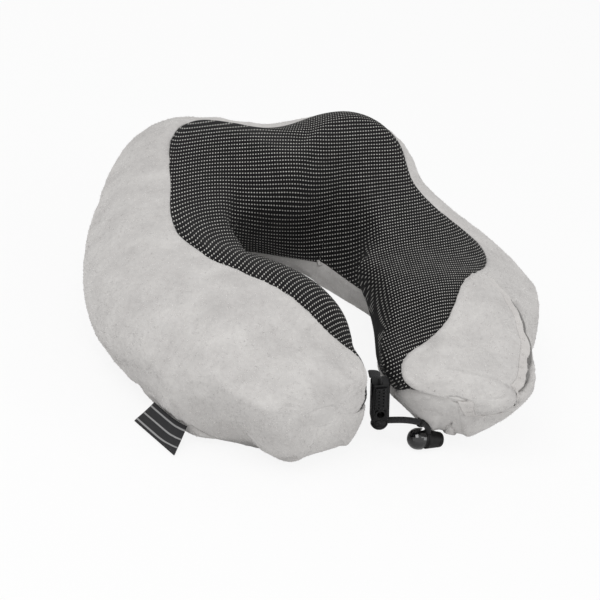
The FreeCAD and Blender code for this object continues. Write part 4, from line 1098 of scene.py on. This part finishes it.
def tuft_tree():
    """Short tapered hairs scattered over a skin, leaning with the nap."""
    tree = Repeat("nap_tufts", [("Density", "Float", 250000.0), ("Height", "Float", 0.0014),
                                ("Girth", "Float", 0.00035), ("Seed", "Int", 4)])
    spread = tree.node("GeometryNodeDistributePointsOnFaces")
    hair = tree.node("GeometryNodeMeshCone", {"Vertices": 3, "Radius Top": 0.0,
                                              "Radius Bottom": 1.0, "Depth": 1.0},
                     fill_type="NONE")
    tilt = tree.node("FunctionNodeRandomValue", {0: (-1.1, -1.1, 0), 1: (1.1, 1.1, 6.28)},
                     data_type="FLOAT_VECTOR")
    as_turn = tree.node("FunctionNodeEulerToRotation")
    lean = tree.node("FunctionNodeRotateRotation", rotation_space="LOCAL")
    vary = tree.node("FunctionNodeRandomValue", {2: 0.6, 3: 1.3}, data_type="FLOAT")
    tree.join((tree.given["Geometry"], spread.inputs["Mesh"]),
              (tree.given["Density"], spread.inputs["Density"]),
              (tree.given["Seed"], spread.inputs["Seed"]), (tilt.outputs[0], as_turn.inputs[0]),
              (spread.outputs["Rotation"], lean.inputs[0]), (as_turn.outputs[0], lean.inputs[1]))
    return tree.place(spread.outputs["Points"], hair, lean.outputs[0],
                      ("Girth", "Girth", "Height"), vary.outputs[1])


def grow(name, mesh, repeat, finish, **inputs):
    """Run a repeat over a mesh and keep what it makes as a plain piece."""
    piece = bpy.data.objects.new(name, mesh)
    bpy.context.scene.collection.objects.link(piece)
    maker = piece.modifiers.new("repeat", "NODES")
    maker.node_group = repeat.tree
    for label, value in inputs.items():
        maker[repeat.sockets[label]] = value
    maker[repeat.sockets["Finish"]] = finish
    settle(piece)
    if not len(piece.data.materials):
        piece.data.materials.append(finish)
    piece.data.polygons.foreach_set("use_smooth", [True] * len(piece.data.polygons))
    return piece


def line_mesh(name, points, joined=True):
    mesh = bpy.data.meshes.new(name)
    edges = [(i, i + 1) for i in range(len(points) - 1)] if joined else []
    mesh.from_pydata([tuple(p) for p in points], edges, [])
    return mesh


STITCHES = stitch_tree()
TEETH = tooth_tree()
TUFTS = tuft_tree()

TUFT_DENSITY = 230000.0
# No nap grows on the base where the turning toggle would brush it.
toggle_place, toggle_reach = Vector(CORD_POINTS[-1]), 0.024
rework(SKINS["base_plush"], lambda work: drop_faces(
    work, lambda middle: (middle - toggle_place).length < toggle_reach))
for skin, height in (("outer_plush", 0.0006), ("pocket_plush", 0.0006),
                     ("pocket_hem_roll", 0.0005), ("base_plush", 0.0004)):
    tufts = grow(skin + "_tufts", SKINS[skin], TUFTS, TUFT_PAINTED_LIGHTER, Density=TUFT_DENSITY,
                 Height=height, Girth=0.00028, Seed=7)
    ride_pillow(tufts, "plush")

# Small tacks hold the pocket's elastic hem.
tack_points = []
for place in places_between(3.9, 5.7, 0.03):
    hoop = Hoop(place)
    at = hem_edge(hoop) - hoop.turn(hem_edge(hoop), 1.0)
    tack_points.append(roll_points(hoop, [at], REST_DEPTH - 2.7)[0] + swell_at(place, [at])[0])
tacks = grow("hem_tacks", line_mesh("hem_line", tack_points), STITCHES, HEM, Pitch=0.0105,
             Length=0.0018, Girth=0.0007)
ride_pillow(tacks, "plush")

# ---------------------------------------------------------------------------- zip

TAPE_FROM, TAPE_TO = SLOT_FROM + 2, SLOT_TO - 2
TAPE_NEAR, TAPE_FAR = 0.00215, 0.0049  # a tape's edges, from the arc's line
TAPE_HEIGHT, SEAM_HEIGHT = 0.0031, 0.0026
TEETH_COUNT, TEETH_FROM, TEETH_SWEEP = 74, 49.3, 71.4
TEETH_OFF, TEETH_HEIGHT = 0.00135, 0.00285


def zip_tape(name, near, far, node):
    """Half of the zip's tape, slightly wavy, beside the teeth."""
    rows = []
    flat = []
    for angle in np.linspace(TAPE_FROM, TAPE_TO, 90):
        row = []
        for share in np.linspace(0, 1, 5):
            radius = ZIP_BEND + near + (far - near) * share
            wave = 0.00008 * math.sin(angle * 1.3 + share * 2)
            row.append(arc_point(angle, radius, TAPE_HEIGHT + wave))
        rows.append(row)
        flat.append([(math.radians(angle) * ZIP_BEND, near + (far - near) * share)
                     for share in np.linspace(0, 1, 5)])
    mesh = grid_mesh(name, np.array(rows), np.array(flat))
    if mesh.polygons[0].normal.z < 0:
        mesh.flip_normals()
    piece = thicken(add_piece(name, mesh, ZIP_CLOTH), 0.0005)
    ride_pillow(piece, "zip_cloth", node)
    for line, radius in (("inner", near * 1.25), ("outer", near + (far - near) * 0.75)):
        points = [arc_point(angle, ZIP_BEND + radius, SEAM_HEIGHT)
                  for angle in np.linspace(TAPE_FROM + 1, TAPE_TO - 1, 140)]
        seam = grow(name + "_seam_" + line, line_mesh(name + "_line", points), STITCHES, THREAD,
                    Pitch=0.0026, Length=0.0020, Girth=0.00035)
        ride_pillow(seam, "zip_cloth")


zip_tape("zip_tape_front_cloth", -TAPE_NEAR, -TAPE_FAR, "zip_tape_front")
zip_tape("zip_tape_rear_cloth", TAPE_NEAR, TAPE_FAR, "zip_tape_rear")

for name, off, shift, node in (("zip_teeth_front", -TEETH_OFF, 0.0, "zip_coil_front"),
                               ("zip_teeth_rear", TEETH_OFF, 0.5, "zip_coil_rear")):
    step = TEETH_SWEEP / TEETH_COUNT
    points = [arc_point(TEETH_FROM + step * (k + shift), ZIP_BEND + off, TEETH_HEIGHT)
              for k in range(TEETH_COUNT)]
    teeth = grow(name, line_mesh(name, points, joined=False), TEETH, COIL_NYLON, Reach=0.0024,
                 Girth=0.00095, Centre=ZIP_CENTRE)
    ride_pillow(teeth, "zip_coil", node)

# ---------------------------------------------------------------------------- woven tab

TAB_WIDTH = 0.033


def woven_tab():
    """Folded woven tape from the base seam: out, round its fold, and back underneath."""
    rows = []
    flat = []
    tape = 0.00045
    for i in range(25):
        across = i / 24
        root = Vector(Hoop(-(3.56 + 0.56 * across)).points([BASE_SEAM], -0.1)[0])
        tip = Vector((-0.1292 + 0.0125 * across, -0.0753 - 0.0325 * across, 0.0013))
        run_out = tip - root
        up = Vector((0, 0, 1))
        crown = root + run_out * 0.5 + Vector((0, 0, -0.0010 + 0.0006 * math.sin(across * 5)))
        row = []
        marks = []
        length = run_out.length
        for k in range(29):  # out along the upper leaf, then back along the lower one
            back = k > 14
            t = 1 - (k - 14) / 14 if back else k / 14
            middle = root * (1 - t) ** 2 + crown * 2 * t * (1 - t) + tip * t * t
            apart = up * (tape * 1.1 * min(1, (1 - t) * 8))
            row.append(middle - apart if back else middle + apart)
            marks.append((across * TAB_WIDTH, length + (1 - t) * length if back else t * length))
        rows.append(row)
        flat.append(marks)
    mesh = grid_mesh("woven_tab_cloth", np.array(rows), np.array(flat))
    if mesh.polygons[3].normal.z < 0:
        mesh.flip_normals()
    return thicken(add_piece("woven_tab_cloth", mesh, TAB_CLOTH), tape), flat


tab, tab_marks = woven_tab()
ride_pillow(tab, "webbing", "label_tab")

# ---------------------------------------------------------------------------- clasp

CLASP_FOOT = 0.0072  # the body starts here above the foot's end
CLASP_TOP = CLASP_FOOT + 0.0258


def placed(at, *turns):
    """A piece's own frame: its place, then its turns in degrees, each about an axis."""
    own = Matrix.Translation(at)
    for degrees, axis in turns:
        own = own @ Matrix.Rotation(math.radians(degrees), 4, axis)
    return own


CLASP = placed((0.0081, -0.1036, 0.0127), (-14.5, "Y"), (-15, "Z"))
TOGGLE = placed((0.0328, -0.1087, 0.0064), (2.2, "Z"), (6.6, "Y"))

for node, finish in (("clasp_body", CLASP_BLACK), ("clasp_button", BUTTON_BLACK),
                     ("clasp_foot", CLASP_BLACK), ("toggle_body", TOGGLE_MATT),
                     ("toggle_plunger", TOGGLE_GLOSS), ("zip_slider", ZIP_METAL),
                     ("zip_pull", ZIP_METAL), ("zip_start_stop", ZIP_METAL),
                     ("zip_end_stop", ZIP_METAL)):
    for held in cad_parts[node].material_slots:
        held.material = finish


def webbing_band():
    """Webbing from the clasp's top over to the left lobe."""
    middle = [(x, CLASP_TOP + over) for x, over in (
        (0, -0.0008), (0, 0.0012), (-0.0001, 0.0030), (-0.0008, 0.0044), (-0.0024, 0.0050),
        (-0.0045, 0.0053), (-0.0069, 0.0054))]
    rows = []
    flat = []
    for i in range(9):
        across = -0.0034 + 0.0068 * i / 8
        run = 0.0
        row = []
        marks = []
        for k, (x, z) in enumerate(middle):
            if k:
                run += math.hypot(x - middle[k - 1][0], z - middle[k - 1][1])
            row.append(CLASP @ Vector((x, across, z)))
            marks.append((run, across))
        rows.append(row)
        flat.append(marks)
    mesh = grid_mesh("webbing_band", np.array(rows), np.array(flat))
    return thicken(add_piece("webbing_band", mesh, WEBBING), 0.0012, offset=0, levels=1)


ride_pillow(webbing_band(), "webbing", "clasp_loop")


def coil_points(frame_of, start, axis, across, radius, rise, turns):
    points = []
    other = axis.cross(across)
    for k in range(turns * 20 + 1):
        turn = 2 * math.pi * k / 20
        local = (start + axis * (rise * k / (turns * 20))
                 + (across * math.cos(turn) + other * math.sin(turn)) * radius)
        points.append(frame_of @ local)
    return points


def coil_piece(name, points, wire):
    return add_piece(name, tube_mesh(name, points, wire, 8), SPRING_STEEL)


button_coil = coil_points(CLASP, Vector((0, 0.00193, CLASP_FOOT + 0.0165)), Vector((0, -1, 0)),
                          Vector((1, 0, 0)), 0.0017, 0.0040, 4)
button_spring = coil_piece("button_spring", button_coil, 0.00022)
ride_pillow(button_spring, "spring_wire", "clasp_spring")
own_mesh(button_spring)

plunger_coil = coil_points(TOGGLE, Vector((0.01055, 0, 0)), Vector((1, 0, 0)), Vector((0, 1, 0)),
                           0.0023, 0.0033, 3)
plunger_spring = coil_piece("plunger_spring", plunger_coil, 0.0003)
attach(plunger_spring, "toggle")
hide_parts("toggle_spring")
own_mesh(plunger_spring)

# ---------------------------------------------------------------------------- cord

cord_line = free_line("cord_line", CORD_POINTS)
cord_path = line_points(cord_line)
bpy.data.objects.remove(cord_line)
cord = add_piece("braided_cord", tube_mesh("braided_cord", cord_path, CORD_RADIUS, 24), BRAID)


def keeper_ring():
    """Stitched loop that holds the cord to the right lobe, with its foot at the seam."""
    start, end = Vector(CORD_POINTS[2]), Vector(CORD_POINTS[3])
    middle = start + (end - start) * 0.36
    near = min(range(len(cord_path)), key=lambda i: (cord_path[i] - middle).length)
    centre = cord_path[near]
    axis = (cord_path[near + 1] - cord_path[near - 1]).normalized()
    lobe = Vector((0.56, 0.48, 0.68))
    lobe = (lobe - axis * lobe.dot(axis)).normalized()
    other = axis.cross(lobe)
    rows = []
    flat = []
    for k in range(29):
        turn = 2 * math.pi * k / 28
        out = lobe * math.cos(turn) + other * math.sin(turn)
        row = []
        marks = []
        for j in range(10):
            around = 2 * math.pi * j / 10
            wide = 0.0013 * math.cos(around)
            thick = 0.0025 + 0.0003 * math.sin(around)
            row.append(centre + axis * wide + out * thick)
            marks.append((turn * 0.0024, wide))
        rows.append(row)
        flat.append(marks)
    mesh = grid_mesh("cord_keeper", np.array(rows), np.array(flat), wrap=True)
    face_out(mesh)
    ring = add_piece("cord_keeper", mesh, WEBBING)
    foot = [centre + lobe * (0.0025 + 0.0005 * k) for k in range(3)]
    stem = add_piece("cord_keeper_foot", tube_mesh("cord_keeper_foot", foot, 0.0009, 12), WEBBING)
    return ring, stem


keeper, keeper_foot = keeper_ring()
ride_pillow(keeper, "webbing", "cord_tab")
ride_pillow(keeper_foot, "webbing")
ride_pillow(cord, "braid", "cord")

# ---------------------------------------------------------------------------- stage and lights

def set_stage():
    mesh = bpy.data.meshes.new("floor")
    reach, level = 6.0, -0.0004
    mesh.from_pydata([(-reach, -reach, level), (reach, -reach, level), (reach, reach, level),
                      (-reach, reach, level)], [], [(0, 1, 2, 3)])
    floor_finish = Finish("floor", Roughness=0.9, Specular_IOR_Level=0.1)
    floor_finish.shader.inputs["Base Color"].default_value = (0.86, 0.86, 0.86, 1)
    rays = floor_finish.add("LightPath")
    seen = floor_finish.sum("MULTIPLY", rays.outputs["Is Camera Ray"], 0.88)
    glow = floor_finish.add("Emission")
    blend = floor_finish.add("MixShader")
    output = floor_finish.nodes["Material Output"]
    floor_finish.join(seen, blend.inputs[0])
    floor_finish.join(floor_finish.shader.outputs[0], blend.inputs[1])
    floor_finish.join(glow.outputs[0], blend.inputs[2])
    floor_finish.join(blend.outputs[0], output.inputs["Surface"])
    floor = add_piece("floor", mesh, floor_finish.material, smooth=False)
    world = bpy.data.worlds.new("studio")
    bpy.context.scene.world = world
    world.use_nodes = True
    nodes = world.node_tree.nodes
    links = world.node_tree.links
    sky = nodes["Background"]
    rays = nodes.new("ShaderNodeLightPath").outputs
    seen = rays["Is Camera Ray"]
    for kind in ("Is Transmission Ray", "Is Glossy Ray"):
        either = nodes.new("ShaderNodeMath")
        either.operation = "MAXIMUM"
        links.new(seen, either.inputs[0])
        links.new(rays[kind], either.inputs[1])
        seen = either.outputs[0]
    power = nodes.new("ShaderNodeMapRange")
    power.inputs["To Min"].default_value = 0.62
    power.inputs["To Max"].default_value = 1.0
    links.new(seen, power.inputs["Value"])
    links.new(power.outputs[0], sky.inputs["Strength"])
    sky.inputs["Color"].default_value = (1, 1, 1, 1)


def lamp(name, place, size, power, aim=(0, -0.02, 0.05)):
    data = bpy.data.lights.new(name, "AREA")
    data.shape = "RECTANGLE"
    data.size, data.size_y = size
    data.energy = power
    holder = bpy.data.objects.new(name, data)
    bpy.context.scene.collection.objects.link(holder)
    at = Vector(place)
    facing = (Vector(aim) - at).to_track_quat("-Z", "Y").to_matrix().to_4x4()
    holder.matrix_world = Matrix.Translation(at) @ facing


set_stage()
lamp("key", (-0.75, -0.55, 1.25), (0.9, 0.7), 9)
lamp("fill", (0.9, -0.9, 0.7), (0.5, 0.9), 3)
bpy.context.scene.view_settings.view_transform = "Standard"
